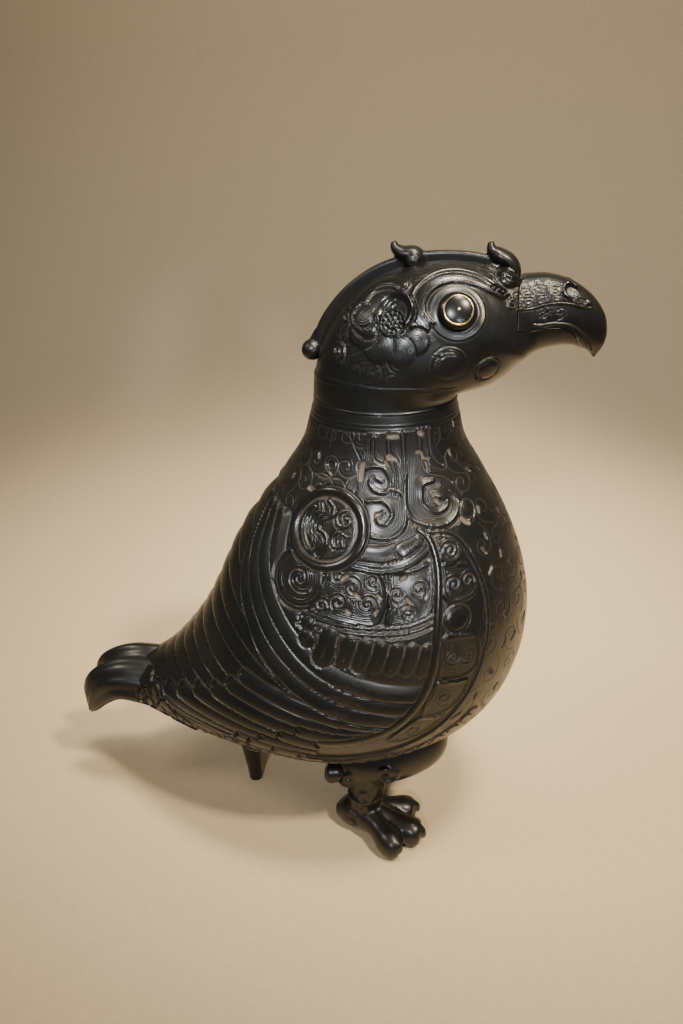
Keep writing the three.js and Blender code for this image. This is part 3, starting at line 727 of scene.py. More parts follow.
@dataclass(frozen=True)
class BronzeFinish:
    """Dark chased bronze: brown patina, pale ground in the recesses and polished crowns."""

    name: str
    dark: tuple = (0.0060, 0.0068, 0.0062)
    warm: tuple = (0.013, 0.0122, 0.0092)
    ground: tuple = (0.150, 0.110, 0.080)
    roughness: float = 0.27
    metallic: float = 0.12
    density: float = 1.52
    patches: float = 38.0
    dust: float = 0.16
    polish: float = 0.085
    grooves: float = 0.13

    def build(self) -> bpy.types.Material:
        """Makes the node material.

        Returns:
            The material, which also reads the piece's own attributes.
        """
        nodes = Nodes(self.name)
        maths = nodes.maths
        broad, fine, grain = nodes.noise(self.patches, 4), nodes.noise(420, 3), nodes.noise(1900, 2)
        wave = maths("COSINE", maths("MULTIPLY", nodes.attribute("phase"), 2 * math.pi))
        line = maths("MULTIPLY", wave, nodes.attribute("cut"))
        patch = maths("MULTIPLY", maths("SUBTRACT", broad, 0.42), 3.2, clamp=True)
        dusty = maths("MULTIPLY", maths("MULTIPLY", line, -0.5), maths("ADD", fine, 0.1), clamp=True)
        base = nodes.mix(maths("MULTIPLY", dusty, self.dust), nodes.mix(patch, self.dark, self.warm),
                         self.ground)
        uneven = maths("ADD", maths("MULTIPLY", fine, 0.9), 0.35)
        pale = maths("MULTIPLY", nodes.attribute("ground"), uneven, clamp=True)
        worn = maths("SUBTRACT", self.roughness + 0.10, maths("MULTIPLY", nodes.attribute("height"),
                                                              self.polish))
        rough = maths("ADD", worn, maths("MULTIPLY", maths("SUBTRACT", fine, 0.5), 0.16))
        rough = maths("ADD", rough, maths("MULTIPLY", pale, 0.4), clamp=True)
        nodes.set(Base_Color=nodes.mix(pale, base, self.ground), Roughness=rough,
                  Metallic=maths("MULTIPLY", maths("SUBTRACT", 1.0, pale), self.metallic),
                  IOR=self.density, Coat_Weight=0.2, Coat_Roughness=0.18)
        relief = maths("ADD", maths("MULTIPLY", line, self.grooves), maths("MULTIPLY", fine, 0.10))
        nodes.bump(maths("ADD", relief, maths("MULTIPLY", grain, 0.05)), 0.8, 0.00045)
        return nodes.material


@dataclass(frozen=True)
class PlainFinish:
    """A smooth finish with a little variation, for gold, glassy domes and the floor."""

    name: str
    color: tuple
    roughness: float
    metallic: float
    grain: float = 900.0
    bump: float = 0.00005
    shade: float = 0.85

    def build(self) -> bpy.types.Material:
        """Makes the node material."""
        nodes = Nodes(self.name)
        noise = nodes.noise(self.grain, 3)
        color = nodes.mix(noise, tuple(c * self.shade for c in self.color), self.color)
        nodes.set(Base_Color=color, Roughness=self.roughness, Metallic=self.metallic)
        nodes.bump(noise, 0.5, self.bump)
        return nodes.material


@dataclass
class Body:
    """The hollow body: neck, shoulders, flanks and rump, as four skins that meet edge to edge."""

    skins: Sequence = (("body_neck", 0.0, 3.0, 125), ("body_wings", 3.0, 6.2, 125),
                       ("body_flanks", 6.2, 9.6, 92),
                       ("body_rump", 9.6, 14.0, 84))
    neck_bore: float = 25.3
    neck_depth: float = 14.0
    half_width: float = 59.75
    columns: int = 640

    def degrees(self, share: Array) -> Array:
        """Spreads the columns, closer together on the right flank."""
        marks = np.array([0.0, 0.07, 0.64, 0.70, 1.0])
        turns = np.array([0.0, 22.0, 150.0, 180.0, 360.0])
        return np.interp(share, marks, turns)

    def skin(self, low: float, high: float, rows: int) -> bmesh.types.BMesh:
        """Makes one skin, its engraving kept in the mesh.

        Args:
            low: the station where it starts.
            high: the station where it ends.
            rows: how many faces lie between them.

        Returns:
            The closed shell, with a sharp rim at each end.
        """
        bm, along, across = grid(rows, self.columns)
        station, degrees = low + (high - low) * along, self.degrees(across)
        relief = Relief(BODY_FORM, station, degrees)
        self.decorate(relief)
        points, normal = BODY_FORM.point(station, degrees), BODY_FORM.normal(station, degrees)
        room = (self.half_width - np.abs(points[:, 1])) / np.maximum(np.abs(normal[:, 1]), 1e-6)
        relief.height = np.minimum(relief.height, room)
        points = points + normal * relief.height[:, None]
        layers = [bm.verts.layers.float.new(key) for key in Relief.CHANNELS]
        values = np.stack([getattr(relief, key) for key in Relief.CHANNELS], 1)
        for vert, point, row in zip(bm.verts, points.tolist(), values.tolist()):
            vert.co = point
            for layer, value in zip(layers, row):
                vert[layer] = value
        bmesh.ops.remove_doubles(bm, verts=bm.verts, dist=WELD)
        if low == 0:
            self.line_neck(bm)
        for edge in bm.edges:
            if edge.is_boundary:
                edge.smooth = False
        return close(bm)

    def build(self, finish: bpy.types.Material) -> list[bpy.types.Object]:
        """Makes the skins."""
        pieces = [settle(from_bmesh(name, self.skin(low, high, rows), tidy=False), BODY, finish)
                  for name, low, high, rows in self.skins]
        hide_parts("vessel")
        return pieces

    def line_neck(self, bm: bmesh.types.BMesh) -> None:
        """Turns the mouth's rim inward and down the neck."""
        rim = [e for e in bm.edges if e.is_boundary and min(v.co.z for v in e.verts) > MOUTH - 2]
        for radius, level in ((self.neck_bore, MOUTH), (self.neck_bore, MOUTH - self.neck_depth)):
            grown = bmesh.ops.extrude_edge_only(bm, edges=rim)["geom"]
            rim = [g for g in grown if isinstance(g, bmesh.types.BMEdge)]
            for vert in {v for e in rim for v in e.verts}:
                flat = Vector((vert.co.x, vert.co.y)).normalized() * radius
                vert.co = (flat.x, flat.y, level)

    def decorate(self, relief: Relief) -> None:
        """Chases the whole body, later motifs over earlier ones."""
        for chase in (self.chase_field, self.chase_neck, self.chase_back, self.chase_flight, self.chase_wing,
                      self.chase_front_strip, self.chase_rump, self.chase_belly):
            chase(relief)

    @staticmethod
    def chase_rump(relief: Relief) -> None:
        """Chases overlapping round feathers where the rump runs into the tail."""
        for row, station in enumerate((13.75, 13.1, 12.4, 11.7)):
            for column in range(6):
                degrees = 84 + column * 20 + (10 if row % 2 else 0)
                if degrees > 112 + 18 * row and row > 1:
                    continue
                relief.disc((station, degrees), 5.6, [(0, 1.2), (0.5, 1.5), (0.85, 1.35), (1, 0.5)],
                            Fill.LINES, 1.2, moat=0.6, cut=0.35)

    @staticmethod
    def chase_field(relief: Relief) -> None:
        """Covers neck, nape and breast with flowing scrolls and dusty slots."""
        station, degrees = relief.station, relief.degrees
        region = (station > 0.46) & (station < 8.2) & ((degrees < 62) | (station < 3.4))
        paths = []
        for row in range(12):
            middle = 0.55 + row * 0.66
            for column in range(-1, 15):
                turn = column * 12.6 + (6.3 if row % 2 else 0) + 3 * math.sin(row * 1.7)
                if not 0 <= turn <= 180 or (middle > 2.9 and turn > 62):
                    continue
                hand = 1 if (row + column) % 2 else -1
                start = 70 * ((row * 5 + column * 3) % 5)
                paths.append(relief.spiral((middle, turn), 9.0, 1.0, start, hand * 500, 34, 0.42))
        relief.etch(paths, region, 0.32, pitch=0.7, width=0.5, depth=0.2, bead=0.04, cut=0.5)
        relief.ground *= 0.6
        for s0, d0 in ((3.7, 38.5), (3.5, 28.5), (3.8, 22.5), (5.08, 16), (4.7, 33.5), (5.28, 34.5),
                       (5.8, 39.5), (6.33, 31.5), (6.33, 43.5), (6.78, 48.5), (3.6, 4.5), (2.8, 15),
                       (3.1, 10.5), (4.23, 14.5), (5.25, 27.5), (1.68, 25), (1.85, 11), (1.07, 36.5),
                       (0.53, 24.5), (2.53, 33), (3.3, 39), (3.05, 35), (1.43, 120), (1.1, 134), (1.9, 150),
                       (2.6, 160)):
            lean = 2.6 * math.sin(s0 * 7 + d0)
            relief.hole([(s0 - 0.05, d0 - lean / 2), (s0 + 0.06, d0 + lean / 2)], (1.5, 0.8), ground=0.5)

    @staticmethod
    def chase_neck(relief: Relief) -> None:
        """Chases the large ribbons and scrolls under the mouth."""
        for level in (0.29, 0.38):
            relief.band([(level, 0), (level, 60), (level, 120), (level, 180)], 0.5, 0.22, Fill.PLAIN)
        patch = [(0.42, 98), (0.42, 84), (0.42, 68), (0.42, 50), (0.9, 46), (1.5, 44), (2.2, 41), (2.6, 44),
                 (2.72, 54), (2.68, 64), (2.78, 74), (2.93, 84), (2.9, 92), (2.6, 97), (2.1, 99), (1.5, 101),
                 (0.9, 100)]
        grooves = [
            [(0.42, 72.5), (0.7, 72), (1.1, 72), (1.4, 73), (1.78, 75.5), (1.95, 77.5)],
            [(0.42, 59.5), (0.7, 60), (1.2, 60), (1.4, 58.5), (1.5, 54), (1.6, 48), (1.8, 44)],
            [(0.42, 82.5), (0.8, 82), (1.0, 80), (1.35, 78.5), (1.7, 79), (1.9, 80)],
            [(0.55, 93), (0.9, 92.5), (1.05, 89), (1.1, 84)],
            [(0.42, 52), (0.9, 52), (1.15, 50), (1.3, 46)],
            [(1.53, 87), (1.45, 91.5), (1.6, 93.5), (1.78, 90.5), (1.83, 85.5), (1.7, 82), (1.45, 82),
             (1.2, 85.5), (1.15, 92), (1.23, 97.5)],
            [(1.75, 81.5), (1.85, 76.5), (2.08, 75), (2.4, 75.5), (2.65, 78), (2.8, 83), (2.83, 88),
             (2.78, 92.5), (2.6, 96)],
            [(2.05, 94.5), (2.02, 87.5), (2.15, 83), (2.35, 82), (2.53, 85), (2.5, 88.5), (2.38, 89),
             (2.3, 86.5)],
            [(1.38, 72.5), (1.78, 74), (2.18, 74.5), (2.43, 72), (2.55, 67.5), (2.62, 61.5), (2.6, 54.5),
             (2.45, 48.5), (2.23, 44.5)],
            [(1.65, 56), (1.7, 63), (1.93, 65.5), (2.18, 65), (2.35, 59.5), (2.3, 54), (2.15, 51),
             (2.05, 54.5), (2.08, 58)],
        ]
        relief.etch(grooves, relief.inside(patch), 0.45, pitch=0.66, width=0.55, depth=0.4, bead=0.42,
                    cut=1.1)
        for path in grooves[5:]:
            relief.band(path, 0.95, 0.95, Fill.PLAIN, crown=0.25, edge=0.35)
        for path, wide in (([(0.5, 82.5), (0.5, 76.5)], 1.7),
                           ([(0.92, 82), (0.98, 78), (1.05, 76.5)], (2.6, 1.0)),
                           ([(0.88, 59.5), (1.02, 58), (1.05, 55)], (1.3, 0.9)),
                           ([(1.1, 99), (1.3, 99.5), (1.5, 99)], 2.2),
                           ([(1.98, 130.5), (2.02, 126.5), (2.05, 122)], (2.2, 1.4)),
                           ([(2.58, 46), (2.68, 43.5)], 2.2),
                           ([(2.55, 71.5), (2.66, 69)], 1.5), ([(2.35, 89.5), (2.3, 87)], (1.8, 1.1)),
                           ([(2.1, 57.5), (2.2, 56)], (2.2, 1.2)), ([(1.15, 57), (1.35, 57.5)], 1.0),
                           ([(0.86, 63), (0.86, 61)], 1.2), ([(1.02, 84.5), (1.1, 83)], 1.2)):
            relief.hole(path, wide)
        relief.hole([(0.47, 59.6), (0.49, 58.6)], 2.2)
        relief.disc((2.43, 40.5), 3.6, [(0, 0.7), (0.7, 0.6), (1, 0.4)], Fill.LINES, moat=0.6)
        relief.disc((1.25, 121.5), 2.2, [(0, -0.2), (0.6, -0.2), (1, 0.4)], moat=0.4)

    @staticmethod
    def chase_back(relief: Relief) -> None:
        """Chases the feathers that run down from the spine behind the wing."""
        for index in reversed(range(12)):
            start = 2.75 + index * 0.78
            drift = float(np.interp(start, [2.7, 5.8, 6.7, 8.0, 9.2, 12.0],
                                    [1.5, 0.6, 0.45, 0.0, -0.5, -0.9]))
            path = [(start, 181), (start + drift * 0.25, 166), (start + drift * 0.6, 150),
                    (start + drift, 134), (start + drift * 1.45, 118), (start + drift * 1.8, 104),
                    (start + drift * 2.0, 92)]
            relief.band(path, 10.6, 0.4, Fill.BARBS, 1.1, tilt=-0.9, crown=0.35, edge=0.3, moat=0.7, cut=0.2)

    @staticmethod
    def chase_flight(relief: Relief) -> None:
        """Chases the flight feathers: round tips that point to the tail, and the long ones above them."""
        relief.band([(9.5, 104), (9.25, 91), (9.0, 79), (8.7, 69), (8.2, 62)], 8.0, 0.5, Fill.BARBS, 1.0,
                    tilt=-0.4, crown=0.3, moat=0.6, cut=0.7)
        tips = (((8.7, 94), (9.3, 104), (9.9, 116), (10.6, 130), (11.2, 143)),
                ((8.4, 88), (8.9, 99), (9.4, 112), (9.9, 126), (10.4, 141)),
                ((8.1, 82), (8.5, 94), (8.9, 107), (9.3, 122), (9.7, 138)),
                ((7.8, 77), (8.15, 90), (8.4, 104), (8.65, 119), (8.95, 135)),
                ((7.6, 73), (7.85, 86), (8.0, 100), (8.15, 115), (8.3, 130.5)),
                ((7.3, 71), (7.5, 84), (7.55, 98), (7.6, 112), (7.7, 127)),
                ((6.98, 69), (7.12, 84), (7.15, 98), (7.15, 112), (7.15, 125)))
        flank = (((8.35, 78), (8.75, 86), (9.1, 95), (9.35, 103)),
                 ((8.0, 74), (8.4, 82), (8.7, 91), (8.85, 99)),
                 ((7.65, 71), (8.0, 79), (8.25, 88), (8.35, 97)),
                 ((7.3, 69), (7.6, 77), (7.8, 86), (7.9, 95)))
        lowest = (((8.8, 82), (9.05, 89), (9.3, 98)), ((8.6, 74), (8.9, 81), (9.15, 89)),
                  ((8.3, 69), (8.7, 73), (9.0, 80)), ((8.0, 66), (8.45, 68), (8.8, 72)))
        for paths, wide, height, tilt, moat in ((tips, (5.6, 7.2), 0.8, 0.75, 0.8),
                                                (flank, (5.0, 6.2), 0.95, 0.6, 0.8),
                                                (lowest, (4.6, 5.6), 0.9, 0.5, 0.7)):
            for path in paths:
                relief.band(path, wide, height, Fill.BARBS, 0.95, tilt=tilt, edge=0.4, crown=0.45, moat=moat,
                            cut=0.3)
        edges = (((2.75, 160), (3.3, 154), (3.9, 150), (4.8, 143), (5.5, 132), (6.05, 122), (6.5, 109),
                  (6.78, 96), (6.86, 83), (6.8, 70)),
                 ((2.85, 153), (3.8, 146), (4.6, 138), (5.2, 129), (5.7, 119), (6.1, 107), (6.38, 95),
                  (6.48, 82), (6.46, 69)),
                 ((2.9, 146.5), (3.7, 140), (4.4, 132.5), (4.95, 124), (5.4, 115), (5.78, 105), (6.02, 94),
                  (6.12, 82), (6.12, 68)),
                 ((2.9, 140), (3.6, 134), (4.2, 127), (4.7, 119), (5.1, 111), (5.4, 103)))
        for path in edges:
            relief.band(path, 7.2, 0.75, Fill.BARBS, 0.9, tilt=-0.8, crown=0.35, edge=0.35, moat=0.7,
                        cut=0.25)

    def chase_wing(self, relief: Relief) -> None:
        """Chases medallion, lobe, crescent, cells and short feathers."""
        relief.disc((4.0, 118), 12.4, [(0, 0.9), (0.78, 0.9), (0.86, 0.5), (0.93, 1.0), (1, 0.7)], moat=0.8)
        self.chase_cell(relief, relief.ring((4.0, 118), 9.6), 1.0, [((4.0, 118), 6.2, 40, 520)], bead=0.35)
        cell_a = [(3.65, 107), (3.5, 99), (3.5, 91.5), (3.62, 86), (3.98, 84.3), (4.3, 85.3), (4.62, 88),
                  (4.66, 96), (4.64, 103.5), (4.6, 111), (4.15, 108.5)]
        cell_b = [(3.5, 83.5), (3.48, 76.5), (3.35, 69.5), (3.28, 67), (3.58, 66.4), (3.95, 67), (4.38, 69.8),
                  (4.56, 77), (4.62, 83.5), (4.2, 83)]
        self.chase_cell(relief, cell_a, 0.8, [((3.9, 97), 4.4, 200, 440), ((4.2, 91), 3.8, 20, -440),
                                              ((4.26, 101), 3.6, 120, 440), ((4.42, 107), 2.8, 0, -400),
                                              ((3.72, 90), 2.6, 60, 380), ((3.75, 103), 2.4, 200, -380)],
                                              bead=0.45)
        self.chase_cell(relief, cell_b, 0.8, [((3.95, 80.5), 3.6, 90, 440), ((3.84, 72.5), 3.8, 60, -440),
                                              ((4.3, 76.5), 3.4, 180, 440)], bead=0.45)
        for path in (cell_a, cell_b):
            relief.band(looped(path, 2), 1.0, 1.15, Fill.PLAIN, crown=0.2, edge=0.35)
        for drop in (0.0, 0.14, 0.28):
            under = [(4.72 + drop, 113.5), (4.76 + drop, 103), (4.72 + drop, 92.5), (4.66 + drop, 84),
                     (4.56 + drop, 75.5), (4.38 + drop, 67.5)]
            relief.band(under, 1.5, 0.95 - drop, Fill.PLAIN, crown=0.25, moat=0.4)
        for path, wide in (([(4.03, 95.5), (4.08, 94)], 1.3), ([(4.36, 88), (4.3, 87)], 1.2),
                           ([(3.74, 101), (3.68, 99.5)], 1.3),
                           ([(4.02, 76.8), (4.08, 75.8)], 1.3), ([(4.4, 98), (4.45, 96.5)], 1.2),
                           ([(3.62, 79), (3.58, 77.5)], 1.2), ([(3.98, 87.5), (4.02, 86.5)], 1.0)):
            relief.hole(path, wide, 0.1)
        relief.band([(3.33, 97), (3.36, 87.5), (3.26, 78), (3.03, 70.5), (2.86, 67.5)], (5.4, 4.4), 0.9,
                    Fill.PLAIN, crown=0.35, moat=0.4)
        relief.band([(3.17, 96), (3.17, 87.5), (3.08, 81)], 6.4, 1.3, Fill.HATCH, 0.9, crown=0.3, moat=0.5,
                    cut=1.5)
        relief.band([(3.04, 78.2), (2.92, 73.5), (2.84, 71)], (6.0, 4.6), 1.3, Fill.HATCH, 0.9, crown=0.3,
                    moat=0.5, cut=1.5)
        relief.band([(3.48, 99.5), (3.52, 87.5), (3.4, 77.4), (3.16, 69.6), (2.96, 66)], 1.1, 1.35,
                    Fill.PLAIN, crown=0.3, edge=0.35)
        self.chase_medallion(relief)
        self.chase_feathers(relief)

    @staticmethod
    def chase_cell(relief: Relief, outline: Sequence, base: float, curls: Sequence,
                   bead: float = 0.3) -> None:
        """Chases a cell with spirals.

        Args:
            relief: the relief to work on.
            outline: the addresses of its outline.
            base: how high its land stands.
            curls: the centre, radius, start and sweep of each spiral.
            bead: how high the beads beside the grooves stand.
        """
        paths = [relief.spiral(centre, radius, 0.7, start, sweep, 26, 0.75) for centre, radius, start,
                 sweep in curls]
        relief.etch([*paths, looped(outline)], relief.inside(outline), base, pitch=0.8, width=0.6, depth=0.38,
                    bead=bead * 0.6)

    def chase_medallion(self, relief: Relief) -> None:
        """Chases the round shoulder medallion with its broad plain rim."""
        centre = (2.8, 113)
        relief.disc(centre, 16.2, [(0, 1.2), (0.79, 1.2), (0.81, 1.7), (0.90, 2.3), (0.97, 2.1), (1, 1.5)],
                    moat=0.9)
        lines = (((-1.5, -10.5), (1.2, -8), (0.8, -4.5), (-2.4, -2.6), (-3.0, 0.8), (0.2, 2.4), (1.6, 5.4),
                  (-0.8, 10.2)),
                 ((6.2, -8.4), (3.6, -6.2), (4.0, -2.8), (7.0, -2.0), (8.6, -4.6), (6.8, -5.2)),
                 ((8.8, 1.2), (5.2, 0.4), (3.4, 2.6), (4.8, 5.8), (8.0, 5.0), (7.2, 3.0)),
                 ((-4.0, -8.8), (-3.2, -6.0), (-5.6, -4.6), (-6.6, -1.0), (-5.8, 2.4), (-3.2, 4.4),
                  (-3.6, 7.8)),
                 ((-7.0, -7.4), (-8.8, -3.2), (-9.2, 1.0), (-7.8, 5.0), (-5.6, 8.0)))
        paths = [relief.form.beside(centre, *np.array(line, float).T) for line in lines]
        rim = relief.ring(centre, 12.7)
        relief.etch([*paths, looped(rim)], relief.inside(rim), 1.45, pitch=0.72, width=0.5, depth=0.3,
                    bead=0.1, reach=7)
        for path, wide in zip(paths, (1.7, 1.5, 1.5, 1.2, 1.1)):
            relief.band(path, wide, 1.75, Fill.PLAIN, crown=0.15, edge=0.4, moat=0.4)

    @staticmethod
    def chase_feathers(relief: Relief) -> None:
        """Chases the short feathers in the middle of the wing."""
        count = 7
        for index in range(count):
            degrees = 68.5 + index * 5.3
            wide, low = (5.4, 5.74) if index < count - 1 else (7.6, 5.78)
            degrees += 1.6 if index == count - 1 else 0
            path = [(5.08, degrees), (5.35, degrees + 0.4), (low - 0.16, degrees + 0.9)]
            relief.band(path, wide, 0.7, Fill.LINES, 0.8, crown=0.15, moat=0.5, cut=0.7)
            relief.band([(5.12, degrees), (low - 0.2, degrees + 0.8)], 0.5, 0.85, Fill.PLAIN)
            if index:
                relief.hole([(5.02, degrees - 2.6), (5.25, degrees - 2.6)], (1.0, 0.4), 0.3, 0.45)
        for spot, radius in (((4.95, 110.5), 3.0), ((5.3, 109.5), 3.4)):
            relief.disc(spot, radius, [(0, 0.9), (0.7, 0.9), (1, 0.7)], Fill.LINES, moat=0.5)

    def chase_front_strip(self, relief: Relief) -> None:
        """Chases the smooth leading ridge and the strip of motifs before it."""
        strip = [(2.75, 58), (3.1, 54), (3.6, 53), (4.4, 54), (5.2, 55), (6.0, 56.5), (6.8, 60), (7.6, 66),
                 (8.4, 76)]
        relief.band(strip[2:], 17, 0.2, Fill.PLAIN)
        leaf = [(2.68, 65), (2.76, 58), (2.95, 52.5), (3.2, 52), (3.34, 56), (3.3, 61), (3.0, 64.5)]
        cell = [(3.42, 62.3), (3.42, 55), (3.5, 48.8), (3.85, 47), (4.06, 50), (4.12, 56), (4.04, 62)]
        box = [(4.86, 63), (4.84, 56), (4.88, 50), (5.2, 48), (5.55, 48.5), (5.72, 53), (5.74, 58),
               (5.66, 63)]
        lower = [(5.84, 63), (5.84, 56), (5.86, 50.5), (6.3, 51.5), (6.6, 56), (6.62, 63.5)]
        last = [(6.72, 64), (6.72, 59), (6.68, 54.5), (7.1, 57), (7.5, 63), (7.5, 68), (7.1, 67)]
        cells = ((leaf, 0.65, [((3.12, 57.5), 3.4, 180, 440)]),
                 (cell, 0.65, [((3.78, 58.2), 3.6, 150, 440), ((3.74, 51.8), 3.2, 30, -440)]),
                 (box, 0.6, [((5.28, 59), 3.2, 0, 440), ((5.3, 52.6), 3.0, 180, -440)]),
                 (lower, 0.55, [((6.2, 58), 4.0, 60, 440)]), (last, 0.5, [((7.1, 62.5), 3.6, 60, 440)]))
        for outline, base, curls in cells:
            self.chase_cell(relief, outline, base, curls)
        for outline, *_ in cells:
            relief.band(looped(outline, 2), 0.9, 0.85, Fill.PLAIN, crown=0.15, edge=0.35)
        relief.disc((4.47, 57.8), 5.7, [(0, 1.2), (0.6, 1.1), (0.80, 0.8), (0.84, 0.4), (0.92, 0.95),
                                        (1, 0.6)], moat=0.6)
        ridge = [(2.66, 70), (2.78, 66.8), (3.0, 65), (3.4, 64), (4.0, 64.8), (4.7, 65.8), (5.5, 65.6),
                 (6.2, 66.4), (6.8, 69), (7.3, 72.5), (7.8, 79), (8.1, 86)]
        relief.band(ridge, (2.6, 4.6), 0.85, Fill.PLAIN, crown=0.55, edge=0.7, moat=0.5)
        outer = [(2.72, 66), (2.75, 60), (2.85, 54), (3.2, 48.5), (3.83, 44.5), (4.55, 43.5), (5.38, 45.5),
                 (6.0, 47.5), (6.6, 50.5), (7.2, 54), (7.8, 60), (8.4, 69), (8.9, 80)]
        relief.band(outer, 1.4, 0.75, Fill.PLAIN, crown=0.3, moat=0.5)

    @staticmethod
    def chase_belly(relief: Relief) -> None:
        """Chases the band of small scales along the edge of the belly."""
        edge = [(13.4, 122), (12.2, 110), (10.9, 101), (9.9, 95), (9.6, 84), (9.4, 72), (9.0, 62), (8.4, 54),
                (7.6, 47), (6.8, 40)]
        relief.band(edge, 5.0, 0.5, Fill.HATCH, 0.8, crown=0.3, moat=0.6, cut=0.6)
        for spot in catmull(edge, np.linspace(0.04, 0.97, 26)).tolist():
            relief.disc(tuple(spot), 2.5, [(0, 0.9), (0.75, 0.95), (1, 0.6)], Fill.LINES, 0.8, moat=0.4,
                        cut=0.7)


@dataclass
class Tail:
    """Two broad lobes that curl down behind the body."""

    valley: Sequence = ((-100, 1, 68), (-104, 1, 66), (-116, 0.5, 67.5), (-127, 0, 66), (-136, -1.5, 62),
                        (-141.5, -4, 56), (-145, -6.5, 49), (-146.3, -7.6, 45))
    ridge: Sequence = ((-100, -8, 72), (-104, -8, 71), (-117, -6.5, 73.5), (-128, -6.5, 73), (-138, -7, 69),
                       (-144.8, -7.5, 63), (-147.8, -8, 55), (-146.9, -8.2, 45.5))
    edge: Sequence = ((-88, -14, 50), (-92, -14, 50.5), (-106, -15.5, 53), (-118, -16, 56.5),
                      (-127, -15.5, 57), (-135, -13.5, 52), (-141, -11.5, 46.5), (-145.6, -9, 43))

    def lobe(self, side: int) -> bmesh.types.BMesh:
        """Makes one lobe as a closed shell.

        Args:
            side: 1 for the right lobe, -1 for the left one.

        Returns:
            The bmesh of the lobe.
        """
        def place(u: Array, v: Array) -> Array:
            """Places the points of the lobe, its section run smoothly through six corners."""
            a, b, c = catmull(self.valley, u), catmull(self.ridge, u), catmull(self.edge, u)
            flank = (b + c) / 2 + np.stack([0 * u, -4.5 * (1 - u * 0.8), 3 * (1 - u)], 1)
            core = a + (c - a) * 0.55
            under = c + (core - c) * 0.5
            corners = np.stack([a, b, flank, c, under, core], 1)
            low = np.floor(v * 6).astype(int)
            row = np.arange(len(u))
            point = hermite(*(corners[row, (low + step) % 6] for step in (-1, 0, 1, 2)),
                            (v * 6 - low)[:, None])
            flute = 0.7 * np.abs(np.sin(np.pi * (v * 10))) * (v < 0.7)
            outward = unit(point - core)
            return (point + outward * flute[:, None]) * np.array([1, side, 1])

        return sheet(64, 72, place)

    def build(self, finish: bpy.types.Material) -> bpy.types.Object:
        """Makes both lobes as one piece."""
        made = from_bmesh("tail", joined([self.lobe(1), self.lobe(-1)]))
        return settle(made, BODY, finish)


